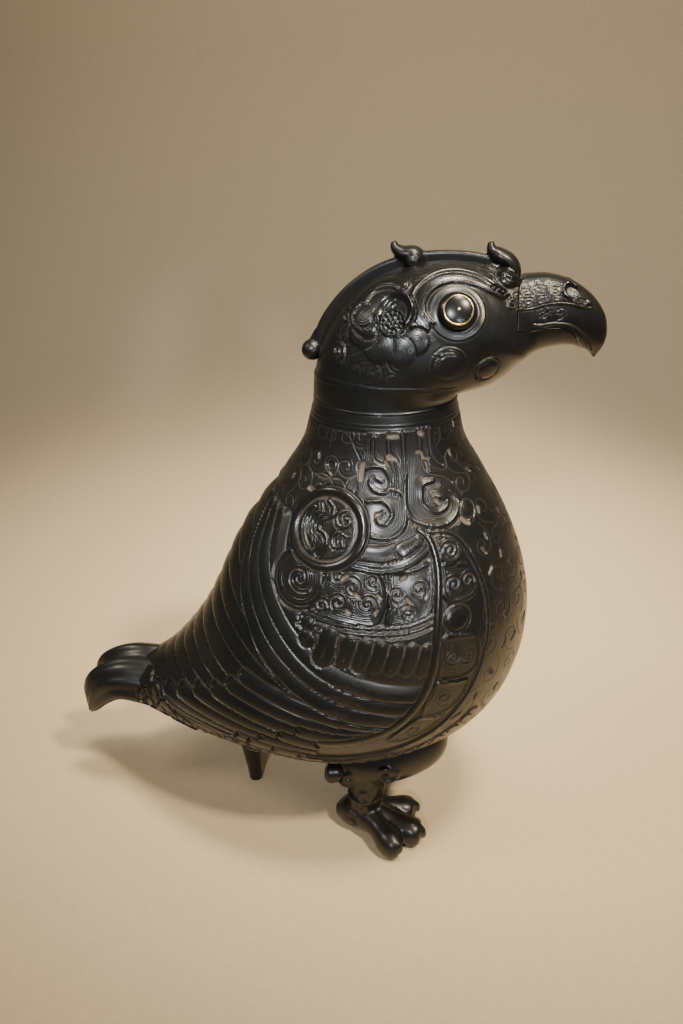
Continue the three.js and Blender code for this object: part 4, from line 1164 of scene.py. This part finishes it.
@dataclass
class Legs:
    """Two short legs with three-toed feet, and the small prop behind them."""

    spread: float = 25.0

    def leg(self, side: int) -> list[bmesh.types.BMesh]:
        """Makes thigh, hock, shank, toes and heel of one leg."""
        def place(dx: float, dy: float, z: float) -> tuple[float, float, float]:
            """Places a point given from the leg's own middle."""
            return dx, side * (-self.spread + dy), z

        thigh = sweep([place(20, 3, 64), place(20.5, 1, 53), place(13, 0.5, 45.5), place(3, 0.5, 40),
                       place(-7, 0.5, 35.5), place(-16, 0.5, 32)], [8, 9.6, 10.2, 10, 8.4, 4.5], 32, 40, 1.05)
        hock = sweep([place(-12, 0.5, 31.5), place(-18, 1, 30), place(-23.5, 1.2, 29), place(-26, 1.2, 29)],
                     [5.5, 4.2, 5.2, 3.0], 20, 16)
        shank = sweep([place(-3.5, 0, 38), place(-5.5, 0, 22), place(-8, 0, 10), place(-9, 0, 6)],
                      [7.6, 7.6, 7.2, 8.7], 28, 24)
        parts = [thigh, hock, shank]
        for tip in ((12.5, 5), (16, -8), (7, -16)):
            line = [place(-9, 0, 8), place((-9 + tip[0]) / 2, tip[1] / 2, 8.2), place(tip[0], tip[1], 5.4),
                    place(tip[0] + 4, tip[1] * 1.08, 4.6)]
            parts.append(sweep(line, [6, 6.4, 5.4, 6.7, 6.0, 3.2], 24, 28, 1.0))
            reach = math.hypot(tip[0] + 9, tip[1])
            ahead = ((tip[0] + 9) / reach, tip[1] / reach)
            claw = [place(tip[0] + out * ahead[0], tip[1] + out * ahead[1], z)
                    for out, z in ((1.5, 9.6), (4.5, 7.6), (5.6, 4.2))]
            parts.append(sweep(claw, [2.0, 2.1, 1.0], 14, 12))
        parts.append(sweep([place(-7, 1, 8), place(-14.5, 1, 7.2), place(-21, 1, 6.6)], [7, 7.6, 2.5], 20, 12,
                           1.0))
        return parts + self.scrolls(place)

    @staticmethod
    def scrolls(place: Callable) -> list[bmesh.types.BMesh]:
        """Makes the raised scrolls on the outer side of thigh, hock and shank."""
        parts = []
        for x, y, z, radius, start, hand in ((-14, -5.6, 31.5, 4.6, 200, 1), (-6, -7.4, 24, 4.2, 60, -1),
                                             (-8, -7.2, 15.5, 3.6, 240, 1), (4, -10.4, 41, 5.0, 20, -1)):
            line = [place(x + right, y + 0.14 * abs(right), z + up)
                    for right, up in coil(radius, start, hand * 500, 14, 0.85)]
            parts.append(sweep(line, [1.0, 1.0, 0.9], 8, 60))
        for z in (19.8, 11.2):
            ring = [place(-6.6 - (20 - z) * 0.16 + 7.9 * math.cos(t), 7.9 * math.sin(t), z)
                    for t in np.linspace(0, 2 * math.pi, 16)]
            parts.append(sweep(ring, [0.9, 0.9], 8, 48, side=(0, 0, 1)))
        return parts

    def build(self, finish: bpy.types.Material) -> list[bpy.types.Object]:
        """Makes both legs and the prop."""
        pieces = []
        for name, side in (("leg_right", 1), ("leg_left", -1)):
            made = fused(from_bmesh(name, joined(self.leg(side))), 0.7)
            pieces.append(settle(self.filed(made), BODY, finish))
        prop = sweep([(-68.5, 0, 44), (-68, 0, 24), (-67, 0, 8), (-66.6, 0, 0)], [5.7, 5, 3.7, 3.3], 24, 16)
        pieces.append(settle(self.filed(from_bmesh("rear_prop", prop)), BODY, finish))
        return pieces

    @staticmethod
    def filed(made: bpy.types.Object) -> bpy.types.Object:
        """Files the soles flat where they stand on the ground."""
        spots = np.zeros(len(made.data.vertices) * 3)
        made.data.vertices.foreach_get("co", spots)
        spots = spots.reshape(-1, 3)
        spots[:, 2] = np.maximum(spots[:, 2], 0)
        made.data.vertices.foreach_set("co", spots.ravel())
        return made


@dataclass
class Head:
    """The head: a hollow lid with the lower beak, and the hinged upper beak."""

    rows: int = 310
    columns: int = 370
    seam: float = 49.0
    foot: float = 234.9
    gap: float = 0.35
    pin_z: float = 248.4
    knuckle: float = 4.5
    mouth: Sequence = ((51.2, 234.35), (53.5, 234.15), (56.5, 234.45), (60, 235.1), (65, 235.1), (69, 233.2),
                       (72.3, 230), (74.4, 226), (75, 219))
    above: float = 275.0

    def zone(self, gap: float, rounded: bool) -> bpy.types.Object:
        """Makes the block of space that the upper beak fills.

        Args:
            gap: how far the block is widened where it meets the head.
            rounded: whether the corner over the hinge is rounded.

        Returns:
            The block, used as a cutter only.
        """
        outline = [(self.seam - gap, self.foot - gap)]
        outline += [(x - gap * 0.7, z - gap) for x, z in self.mouth]
        outline += [(95, 219), (95, self.above)]
        if rounded:
            outline.append((PIN_X, self.above))
            for turn in np.linspace(math.pi / 2, math.pi, 8):
                outline.append((PIN_X + self.knuckle * math.cos(turn),
                                self.pin_z + self.knuckle * math.sin(turn)))
        else:
            outline.append((self.seam - gap, self.above))
        bm = bmesh.new()
        face = bm.faces.new([bm.verts.new((x, -40, z)) for x, z in outline])
        grown = bmesh.ops.extrude_face_region(bm, geom=[face])["geom"]
        bmesh.ops.translate(bm, vec=(0, 80, 0), verts=[g for g in grown if isinstance(g, bmesh.types.BMVert)])
        return from_bmesh("zone", bm)

    def build(self, finish: bpy.types.Material) -> list[bpy.types.Object]:
        """Makes the lid and the beak from one chased skin."""
        kept: dict[str, Any] = {}

        def place(u: Array, v: Array) -> Array:
            """Places the chased points, closer together from the collar to the beak's root."""
            station = np.interp(u, [0, 0.16, 0.66, 1.0], [0, 3.0, 9.0, 17.0])
            degrees = np.interp(v, [0, 0.6, 1.0], [0, 180, 360])
            relief = Relief(HEAD_FORM, station, degrees)
            self.decorate(relief)
            kept["relief"] = relief
            points = HEAD_FORM.point(station, degrees)
            made = points + HEAD_FORM.normal(station, degrees) * relief.height[:, None]
            kept["points"] = (made + np.array([SHIFT, 0, 0])) * MM
            return made

        skin = from_bmesh("head", sheet(self.rows, self.columns, place))
        beak = skin.copy()
        beak.data = skin.data.copy()
        beak.name = "beak_upper"
        bpy.context.scene.collection.objects.link(beak)
        for piece, rounded, gap, how in ((skin, False, self.gap, "DIFFERENCE"),
                                         (beak, True, 0.0, "INTERSECT")):
            cutter = self.zone(gap, rounded)
            cut = piece.modifiers.new("part", "BOOLEAN")
            cut.operation = how
            cut.solver = "EXACT"
            cut.object = cutter
            bpy.context.view_layer.update()
            applied(piece)
            bpy.data.objects.remove(cutter)
            carved(piece, kept["relief"], kept["points"])
        settle(skin, BODY, finish)
        settle(beak, FLAP, finish)
        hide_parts("head_lid")
        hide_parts("upper_beak")
        return [skin, beak]

    def decorate(self, relief: Relief) -> None:
        """Chases the whole head, later motifs over earlier ones; the hook is drawn in a little."""
        relief.height -= 0.14 * smooth((relief.station - 12.2) / 1.2)
        for chase in (self.chase_crown, self.chase_collar, self.chase_eye, self.chase_ear, self.chase_cheeks,
                      self.chase_beak, self.chase_curl):
            chase(relief)

    @staticmethod
    def chase_curl(relief: Relief) -> None:
        """Chases the rolled end of the front curl, which lies on the side of the forehead."""
        relief.band([(8.75, 172), (9.15, 166), (9.4, 159), (9.4, 152)], (5.0, 6.4), 1.0, Fill.PLAIN,
                    crown=1.0, moat=0.5)
        relief.disc((9.2, 148), 4.5, [(0, 2.2), (0.4, 2.1), (0.7, 1.6), (0.9, 0.9), (1, 0.3)], moat=0.6)
        roll = relief.spiral((9.2, 148), 3.3, 0.5, 250, 520, 24)
        relief.band(roll, 0.8, 2.3, Fill.PLAIN, crown=0.2, edge=0.35)

    @staticmethod
    def chase_crown(relief: Relief) -> None:
        """Chases flat scrolls over nape, crown and cheeks."""
        station, degrees = relief.station, relief.degrees
        paths = []
        for row in range(7):
            for column in range(11):
                middle = 2.9 + row * 0.92
                turn = 40 + column * 13 + (6 if row % 2 else 0)
                if turn > 178:
                    continue
                hand = 1 if (row + column) % 2 else -1
                paths.append(relief.spiral((middle, turn), 7.0, 0.9, 80 * ((row * 3 + column) % 5),
                                           hand * 460, 28, 0.45))
        region = (station > 2.75) & (station < 9.3) & ((degrees > 126) | ((station < 5.8) & (degrees > 92)))
        relief.etch(paths, region, 0.1, pitch=0.8, width=0.5, depth=0.15, bead=0.05, cut=0.4)
        relief.ground *= 0.3
        relief.scroll((4.15, 152), 3.6, 30, 430, 1.5, 0.5)
        relief.scroll((3.15, 139), 3.8, 200, -430, 1.5, 0.5)

    @staticmethod
    def chase_collar(relief: Relief) -> None:
        """Chases the double moulding and the plain band of the lid's rim."""
        for drop in (0.0, 0.14):
            path = [(1.78 + drop, 180), (1.92 + drop, 150), (2.1 + drop, 115), (2.3 + drop, 90),
                    (2.95 + drop, 60), (3.4 + drop, 50)]
            relief.band(path, 0.7, 0.22, Fill.PLAIN, crown=0.12)
        relief.band([(0.12, 180), (0.12, 120), (0.12, 60), (0.12, 0)], 1.0, 0.3, Fill.PLAIN)

    @staticmethod
    def chase_eye(relief: Relief) -> None:
        """Chases the socket, the grooved ring and the broad engraved brow."""
        relief.disc(EYE, 12.6, [(0, 0.1), (0.86, 0.1), (1, 0.0)])
        relief.disc(EYE, 10.6, [(0, -0.2), (0.7, -0.2), (0.78, 0.05), (0.87, 0.05), (0.9, 0.3), (0.94, 0.3),
                                (0.97, 0.05), (1, 0.05)])
        relief.disc(EYE, 7.9, [(0, -0.5), (0.84, -0.5), (0.92, 0.1), (1, 0.15)])
        upper = [(5.2, 102), (5.2, 108), (5.5, 119), (5.95, 129), (6.45, 139), (7.0, 146), (7.5, 146),
                 (8.0, 138), (8.35, 127), (8.7, 118)]
        lower = [(5.75, 103), (5.8, 110), (6.05, 119), (6.4, 126.5), (6.8, 132), (7.25, 133), (7.65, 128),
                 (8.0, 120), (8.25, 114)]
        middle = [(5.45, 105), (5.6, 114), (6.0, 124), (6.45, 133), (6.95, 139.5), (7.4, 139.5), (7.85, 132),
                  (8.2, 122.5), (8.5, 116)]
        relief.band(middle, (5.4, 4.0), 1.0, Fill.LINES, 0.9, crown=0.35, moat=0.6, cut=0.35)
        relief.band(upper, 1.9, 1.5, Fill.PLAIN, crown=0.5, edge=0.6)
        relief.band(lower, 0.9, 1.1, Fill.PLAIN, crown=0.2, edge=0.4)
        for drop in range(4):
            turn = 0.14 * drop
            relief.band([(8.25 + turn, 122.5 - drop * 2), (8.62 + turn, 118.5 - drop * 2)], 1.2, 1.5,
                        Fill.PLAIN, crown=0.3, moat=0.4)
        relief.scroll((8.75, 103), 2.8, 90, -430, 0.9, 0.5, moat=0.3)
        relief.scroll((8.95, 112), 2.2, 180, 430, 0.8, 0.6, moat=0.3)

    @staticmethod
    def chase_ear(relief: Relief) -> None:
        """Chases the ear: big outer curl, bowl with beads, and soft lobes."""
        outer = [(4.3, 128), (4.35, 139), (4.6, 149), (5.0, 155.5), (5.45, 157), (5.85, 151), (5.98, 143)]
        for s, d, radius in ((4.85, 99, 4.8), (4.2, 101, 5.6), (3.95, 114, 6.2), (4.1, 129, 6.2)):
            relief.disc((s, d), radius, [(0, 0.8), (0.5, 0.76), (0.8, 0.6), (1, 0.2)], Fill.LINES, 0.75,
                        cut=0.35)
        relief.band(outer, (7.4, 5.6), 1.0, Fill.LINES, 1.1, crown=0.5, moat=0.6, cut=0.8)
        relief.disc((4.55, 138), 4.2, [(0, 1.3), (0.5, 1.2), (1, 0.8)], Fill.LINES, 0.9, moat=0.5, cut=0.8)
        relief.disc((5.26, 124.5), 6.9, [(0, 1.1), (0.6, 1.3), (0.82, 2.4), (0.91, 2.8), (1, 2.0)], moat=0.7)
        for reach in (2.4, 4.0):
            relief.band(relief.arc((5.3, 124.5), reach, 210, 380), 0.7, 1.35 + 0.06 * reach, Fill.PLAIN,
                        edge=0.4)
        relief.disc((4.9, 119), 4.7, [(0, 0.7), (0.8, 0.7), (0.92, 1.7), (1, 1.6)])
        for ring, count in enumerate((1, 6, 12)):
            for spot in relief.around((4.9, 119), ring * 1.6,
                                      2 * math.pi * np.arange(count) / count).tolist():
                relief.disc(tuple(spot), 0.78, [(0, 1.6), (0.5, 1.4), (1, 0.8)])

    @staticmethod
    def chase_cheeks(relief: Relief) -> None:
        """Chases the polished cheek discs."""
        relief.disc((4.65, 72), 6.6, [(0, 0.5), (0.6, 0.5), (0.84, 0.35), (0.87, 0.1), (0.93, 0.55),
                                      (1, 0.3)], moat=0.4)
        relief.disc((5.3, 47), 5.2, [(0, 0.9), (0.5, 0.8), (0.72, 0.4), (0.78, 0.1), (0.9, 0.6), (1, 0.3)],
                    moat=0.4)
        relief.band(relief.arc((4.65, 72), 4.3, -70, 60, 9), 0.7, 0.75, Fill.PLAIN, moat=0.3)

    @staticmethod
    def chase_beak(relief: Relief) -> None:
        """Chases the beak: spiral band, nostril arch and lip line."""
        band = [(8.9, 98), (8.95, 120), (9.3, 140), (9.9, 150), (10.8, 150), (11.6, 146), (12.4, 140),
                (12.9, 128), (12.6, 118), (11.6, 111), (10.5, 105), (9.6, 100)]
        spots = (((9.25, 107), 2.0), ((9.3, 118), 2.2), ((9.85, 110), 2.3), ((9.9, 125), 2.4),
                 ((10.5, 114), 2.3), ((10.55, 129), 2.3), ((11.2, 117), 2.1), ((11.15, 131), 2.1),
                 ((11.9, 121), 1.9), ((12.4, 124), 1.6),
                 ((9.95, 139), 2.2), ((10.7, 141), 2.1))
        paths = [relief.spiral(spot, radius * 0.95, 0.3, 60 * index, 560 if index % 2 else -560, 24, 0.9)
                 for index, (spot, radius) in enumerate(spots)]
        relief.etch(paths, relief.inside(band), 0.28, pitch=0.6, width=0.4, depth=0.26, bead=0.16, cut=0.5)
        relief.band([(8.95, 98), (9.6, 100), (10.5, 105), (11.6, 111), (12.5, 117), (12.95, 127)], 0.8, 0.55,
                    Fill.PLAIN, crown=0.15, edge=0.4, moat=0.3)
        relief.scroll((10.45, 92), 2.6, 0, 400, 0.6, 0.22, moat=0.25)
        relief.scroll((11.35, 93), 2.4, 180, -400, 0.6, 0.22, moat=0.25)
        relief.disc((11.8, 137), 2.2, [(0, -0.3), (0.7, -0.3), (1, 0.1)])
        relief.band(relief.arc((11.8, 137), 2.7, 170, 400), 1.1, 0.9, Fill.PLAIN, crown=0.3)
        relief.disc((12.75, 133), 1.4, [(0, 0.9), (0.6, 0.7), (1, 0.1)])
        relief.band([(9.75, 77), (10.3, 76), (11.3, 77), (12.3, 75), (13.3, 66), (14.3, 52), (15.0, 40)], 0.9,
                    0.45, Fill.PLAIN, moat=0.5)


@dataclass
class Crest:
    """The thin crest along the crown, its knob and its two curls."""

    thickness: float = 5.0
    outer: Sequence = ((-27.6, 226.5), (-26.6, 233), (-22.0, 240.8), (-14, 249.3), (-3, 256.3), (10, 260.2),
                       (22, 261.2), (34, 260.2), (43, 257.3), (47, 254.8))
    inner: Sequence = ((46, 252), (31, 255.2), (17, 255.2), (3, 252), (-8, 246), (-16, 238), (-21.5, 230),
                       (-24.2, 224.5))

    def ridge(self) -> bmesh.types.BMesh:
        """Makes the crest as a bevelled plate."""
        outline = np.vstack([catmull(self.outer, np.linspace(0, 1, 60)),
                             catmull(self.inner, np.linspace(0, 1, 30))])
        bm = bmesh.new()
        face = bm.faces.new([bm.verts.new((x, -self.thickness / 2, z)) for x, z in outline.tolist()])
        grown = bmesh.ops.extrude_face_region(bm, geom=[face])["geom"]
        moved = [g for g in grown if isinstance(g, bmesh.types.BMVert)]
        bmesh.ops.translate(bm, vec=(0, self.thickness, 0), verts=moved)
        rims = [e for e in bm.edges if abs(e.verts[0].co.y - e.verts[1].co.y) < 1e-6]
        bmesh.ops.bevel(bm, geom=rims, offset=0.9, segments=3, profile=0.5, affect="EDGES", material=-1)
        return bm

    @staticmethod
    def button(x: float, z: float, radius: float, reach: float) -> bmesh.types.BMesh:
        """Makes a rounded roller across the midline."""
        line = [(x, -reach, z), (x, -reach * 0.5, z), (x, 0, z), (x, reach * 0.5, z), (x, reach, z)]
        shares = (0.3, 0.72, 0.93, 1.0, 1.04, 1.0, 0.93, 0.72, 0.3)
        return sweep(line, [radius * share for share in shares], 28, 36, side=(1, 0, 0))

    def curls(self) -> list[bmesh.types.BMesh]:
        """Makes both curls and the knob at the nape."""
        rear = sweep([(3.0, 0, 264.4), (3.8, 0, 262.0), (6.6, 0, 260.2), (10.8, 0, 260.0), (12.8, 0, 257.8),
                      (12.0, 0, 255.0)], [1.6, 3.2, 4.4, 4.6, 4.2, 3.8], 24, 36, 0.62)
        front = sweep([(38.4, 0, 264.0), (39.0, 0, 261.2), (41.6, 0, 259.2), (45.2, 0, 257.0),
                       (47.2, 0, 253.4), (45.8, 0, 249.8)], [1.6, 3.4, 4.8, 5.0, 4.6, 3.8], 24, 40, 0.62)
        stem = sweep([(-25.6, 0, 231), (-27.4, 0, 228), (-28.4, 0, 225)], [2.2, 2.2, 2.6], 16, 10)
        rolls = []
        for x, z, y, radius in ((44.6, 250.6, 8.1, 3.4), (10.6, 257.6, 5.6, 2.4)):
            for side in (1, -1):
                line = [(x + right, side * (y - 0.9 * (right**2 + up**2) / radius**2), z + up)
                        for right, up in coil(radius, 20, 520, 16, 0.8)]
                rolls.append(sweep(line, [0.75, 0.75], 8, 56))
        buttons = ((10.2, 257.6, 3.2, 6.0), (44.4, 250.4, 4.4, 8.4), (-28.9, 223.8, 4.1, 4.6))
        return [*rolls, rear, front, stem, *(self.button(*sizes) for sizes in buttons)]

    def build(self, finish: bpy.types.Material) -> bpy.types.Object:
        """Makes the crest as one piece."""
        made = fused(from_bmesh("crest", joined([self.ridge(), *self.curls()])), 0.45)
        return settle(made, BODY, finish)


@dataclass
class Eyes:
    """Glossy domes, each with a gold ring and a gold dot let into it."""

    radius: float = 6.6
    height: float = 2.4
    ring_radius: float = 5.2
    ring_width: float = 0.62
    dot_radius: float = 0.62
    proud: float = 0.04

    def seat(self, side: int) -> Matrix:
        """Returns the turn and place of an eye, drawn about +Z at the origin."""
        spot = np.array([EYE[0]]), np.array([EYE[1]])
        normal = HEAD_FORM.normal(*spot)[0]
        centre = HEAD_FORM.point(*spot)[0] + normal * 0.2
        flip = np.array([1, side, 1])
        turn = Vector((0, 0, 1)).rotation_difference(Vector(normal * flip)).to_matrix().to_4x4()
        return Matrix.Translation(Vector(centre * flip)) @ turn

    def spun(self, profile: Sequence[tuple[float, float]], side: int, steps: int = 64) -> bmesh.types.BMesh:
        """Spins a profile about the eye's axis.

        Args:
            profile: radius and height of each of its points.
            side: 1 for the right eye, -1 for the left one.
            steps: how many faces lie round it.

        Returns:
            The bmesh, seated in the head.
        """
        bm = bmesh.new()
        verts = [bm.verts.new((radius, 0, height)) for radius, height in profile]
        edges = [bm.edges.new(pair) for pair in zip(verts[:-1], verts[1:])]
        bmesh.ops.spin(bm, geom=verts + edges, cent=(0, 0, 0), axis=(0, 0, 1), angle=2 * math.pi, steps=steps,
                       use_merge=True)
        bmesh.ops.remove_doubles(bm, verts=bm.verts, dist=WELD)
        bmesh.ops.transform(bm, matrix=self.seat(side), verts=bm.verts)
        return bm

    def crown(self, radius: float) -> float:
        """Returns the height of the dome at a radius."""
        return self.height * (1 - (radius / self.radius) ** 2) ** 0.5 if radius < self.radius else 0.0

    def build(self, glass: bpy.types.Material, gold: bpy.types.Material) -> list[bpy.types.Object]:
        """Makes both eyes."""
        inner, outer = self.ring_radius - self.ring_width / 2, self.ring_radius + self.ring_width / 2
        low, high = self.crown(outer) - 0.3, self.crown(self.ring_radius) + 0.10
        turns = np.linspace(0, 1, 18)[:-1] * math.pi / 2
        dome = [(0.0, -2.0), (self.radius, -2.0), *((self.radius * math.cos(t),
                                                     self.height * math.sin(t)) for t in turns),
                (0.0, self.height)]
        ring = [(inner, low), (outer, low), (outer, self.crown(outer) + self.proud), (self.ring_radius, high),
                (inner, self.crown(inner) + self.proud), (inner, low)]
        dot = [(0.0, self.height - 0.4), (self.dot_radius, self.height - 0.4),
               (self.dot_radius, self.height + 0.02),
               (self.dot_radius * 0.6, self.height + 0.12), (0.0, self.height + 0.15)]
        pieces = []
        for name, side in (("right", 1), ("left", -1)):
            made = from_bmesh(f"eye_dome_{name}", self.spun(dome, side))
            pieces.append(settle(made, BODY, glass))
            for kind, node, profile, steps in (("gold_ring", "eye_ring", ring, 64),
                                               ("gold_dot", "pupil", dot, 24)):
                made = settle(from_bmesh(f"{kind}_{name}", self.spun(profile, side, steps)), BODY,
                              gold)
                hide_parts(f"{node}_{name}")
                pieces.append(made)
        return pieces


@dataclass
class Studio:
    """The pale floor, the soft lights and the camera."""

    focal: float = 800.0
    long_side: float = 1024.0
    eye: tuple = (24.8, -309.6, 299.0)
    yaw: float = 8.0
    pitch: float = 25.0
    roll: float = 1.3
    sky_color: tuple = (0.84, 0.92, 1.0, 1)
    sky_strength: float = 0.12
    lamps: Sequence = (
        ("key", (0.62, -0.46, 1.12), (0.05, 0.18, 0.0), 0.06, 35, 66.0, (1.0, 0.86, 0.64)),
        ("overhead", (0.30, -0.12, 1.25), (0.03, 0.18, 0.0), 0.11, 39, 57.0, (1.0, 0.87, 0.67)),
        ("window", (-0.05, -1.0, 0.78), (0.01, 0.02, 0.15), 0.07, 17, 52.0, (0.92, 0.96, 1.0)),
        ("low_window", (0.40, -0.98, 0.36), (0.035, -0.03, 0.165), 0.06, 9, 34.0, (0.95, 0.96, 1.0)),
        ("left", (-0.80, -0.30, 1.0), (-0.06, 0.03, 0.0), 0.18, 44, 17.0, (1.0, 0.90, 0.74)),
        ("wash", (0.10, 0.10, 1.50), (0.08, 0.95, 0.25), 0.20, 95, 38.0, (0.97, 0.96, 0.90)),
    )

    def camera(self) -> None:
        """Sets the camera at the photograph's viewing angle."""
        data = bpy.data.cameras.new("camera")
        data.lens = self.focal / self.long_side * data.sensor_width
        data.clip_start = 0.01
        data.clip_end = 20.0
        yaw, pitch, roll = (math.radians(a) for a in (self.yaw, self.pitch, self.roll))
        forward = Vector((-math.sin(yaw) * math.cos(pitch), math.cos(yaw) * math.cos(pitch),
                          -math.sin(pitch)))
        level = Vector((math.cos(yaw), math.sin(yaw), 0))
        above = level.cross(forward)
        right = level * math.cos(roll) - above * math.sin(roll)
        up = level * math.sin(roll) + above * math.cos(roll)
        turn = Matrix((right, up, -forward)).transposed().to_4x4()
        made = bpy.data.objects.new("camera", data)
        made.matrix_world = Matrix.Translation(Vector((self.eye[0] + SHIFT, self.eye[1],
                                                       self.eye[2])) * MM) @ turn
        bpy.context.scene.collection.objects.link(made)
        bpy.context.scene.camera = made

    def floor(self, finish: bpy.types.Material) -> None:
        """Lays a pale floor that rises through a wide bend into a backdrop."""
        start, bend = 0.5, 0.45
        bm = bmesh.new()
        bmesh.ops.create_grid(bm, x_segments=8, y_segments=120, size=1.0)
        for vert in bm.verts:
            run = (vert.co.y + 1) * 1.6 - 1.2
            turn = min(max(run - start, 0) / bend, math.pi / 2)
            past = max(run - start - bend * math.pi / 2, 0)
            vert.co = (vert.co.x * 3.0, min(run, start) + bend * math.sin(turn),
                       bend * (1 - math.cos(turn)) + past)
        bmesh.ops.recalc_face_normals(bm, faces=bm.faces)
        mesh = bpy.data.meshes.new("floor")
        bm.to_mesh(mesh)
        bm.free()
        mesh.shade_smooth()
        made = mesh_object("floor", mesh)
        made.data.materials.append(finish)

    def lamp(self, name: str, place: tuple, target: tuple, size: float, cone: float, power: float,
             color: tuple) -> None:
        """Hangs one soft lamp whose light fades towards the edge of its cone.

        Args:
            name: its name.
            place: where it hangs, in metres.
            target: the point that it looks at.
            size: how large its light is.
            cone: the degrees across its cone.
            power: its power in watts.
            color: its colour.
        """
        data = bpy.data.lights.new(name, "SPOT")
        data.shadow_soft_size = size
        data.spot_size = math.radians(cone)
        data.spot_blend = 1.0
        data.energy = power
        data.color = color
        made = bpy.data.objects.new(name, data)
        made.location = place
        aim = Vector(target) - Vector(place)
        made.rotation_euler = aim.to_track_quat("-Z", "Y").to_euler()
        bpy.context.scene.collection.objects.link(made)

    def build(self, finish: bpy.types.Material) -> None:
        """Sets floor, lamps, surroundings and camera."""
        self.floor(finish)
        for lamp in self.lamps:
            self.lamp(*lamp)
        world = bpy.data.worlds.new("studio")
        world.use_nodes = True
        sky = world.node_tree.nodes["Background"]
        sky.inputs["Color"].default_value = self.sky_color
        sky.inputs["Strength"].default_value = self.sky_strength
        bpy.context.scene.world = world
        self.camera()


def dress_pin(finish: bpy.types.Material) -> None:
    """Gives the hinge pin the finish of the casting."""
    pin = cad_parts["beak_pin"]
    pin.data.materials.clear()
    pin.data.materials.append(finish)


def main() -> None:
    """Builds the vessel from the body out, then the studio."""
    logging.basicConfig(level=logging.INFO)
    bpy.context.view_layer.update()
    bronze = BronzeFinish("bronze_patina").build()
    dark = BronzeFinish("bronze_head", (0.0055, 0.0062, 0.0062), (0.011, 0.0098, 0.0082),
                        roughness=0.26).build()
    glass = PlainFinish("eye_dome", (0.008, 0.0085, 0.009), 0.25, 0.1, bump=0.00001).build()
    gold = PlainFinish("gold_inlay", (0.86, 0.66, 0.30), 0.24, 1.0).build()
    cloth = PlainFinish("pale_floor", (0.80, 0.63, 0.40), 0.9, 0.0, grain=260.0, bump=0.0003).build()
    Body().build(bronze)
    Tail().build(bronze)
    Legs().build(bronze)
    Head().build(dark)
    Crest().build(dark)
    Eyes().build(glass, gold)
    dress_pin(bronze)
    Studio().build(cloth)


if __name__ == "__main__":
    main()
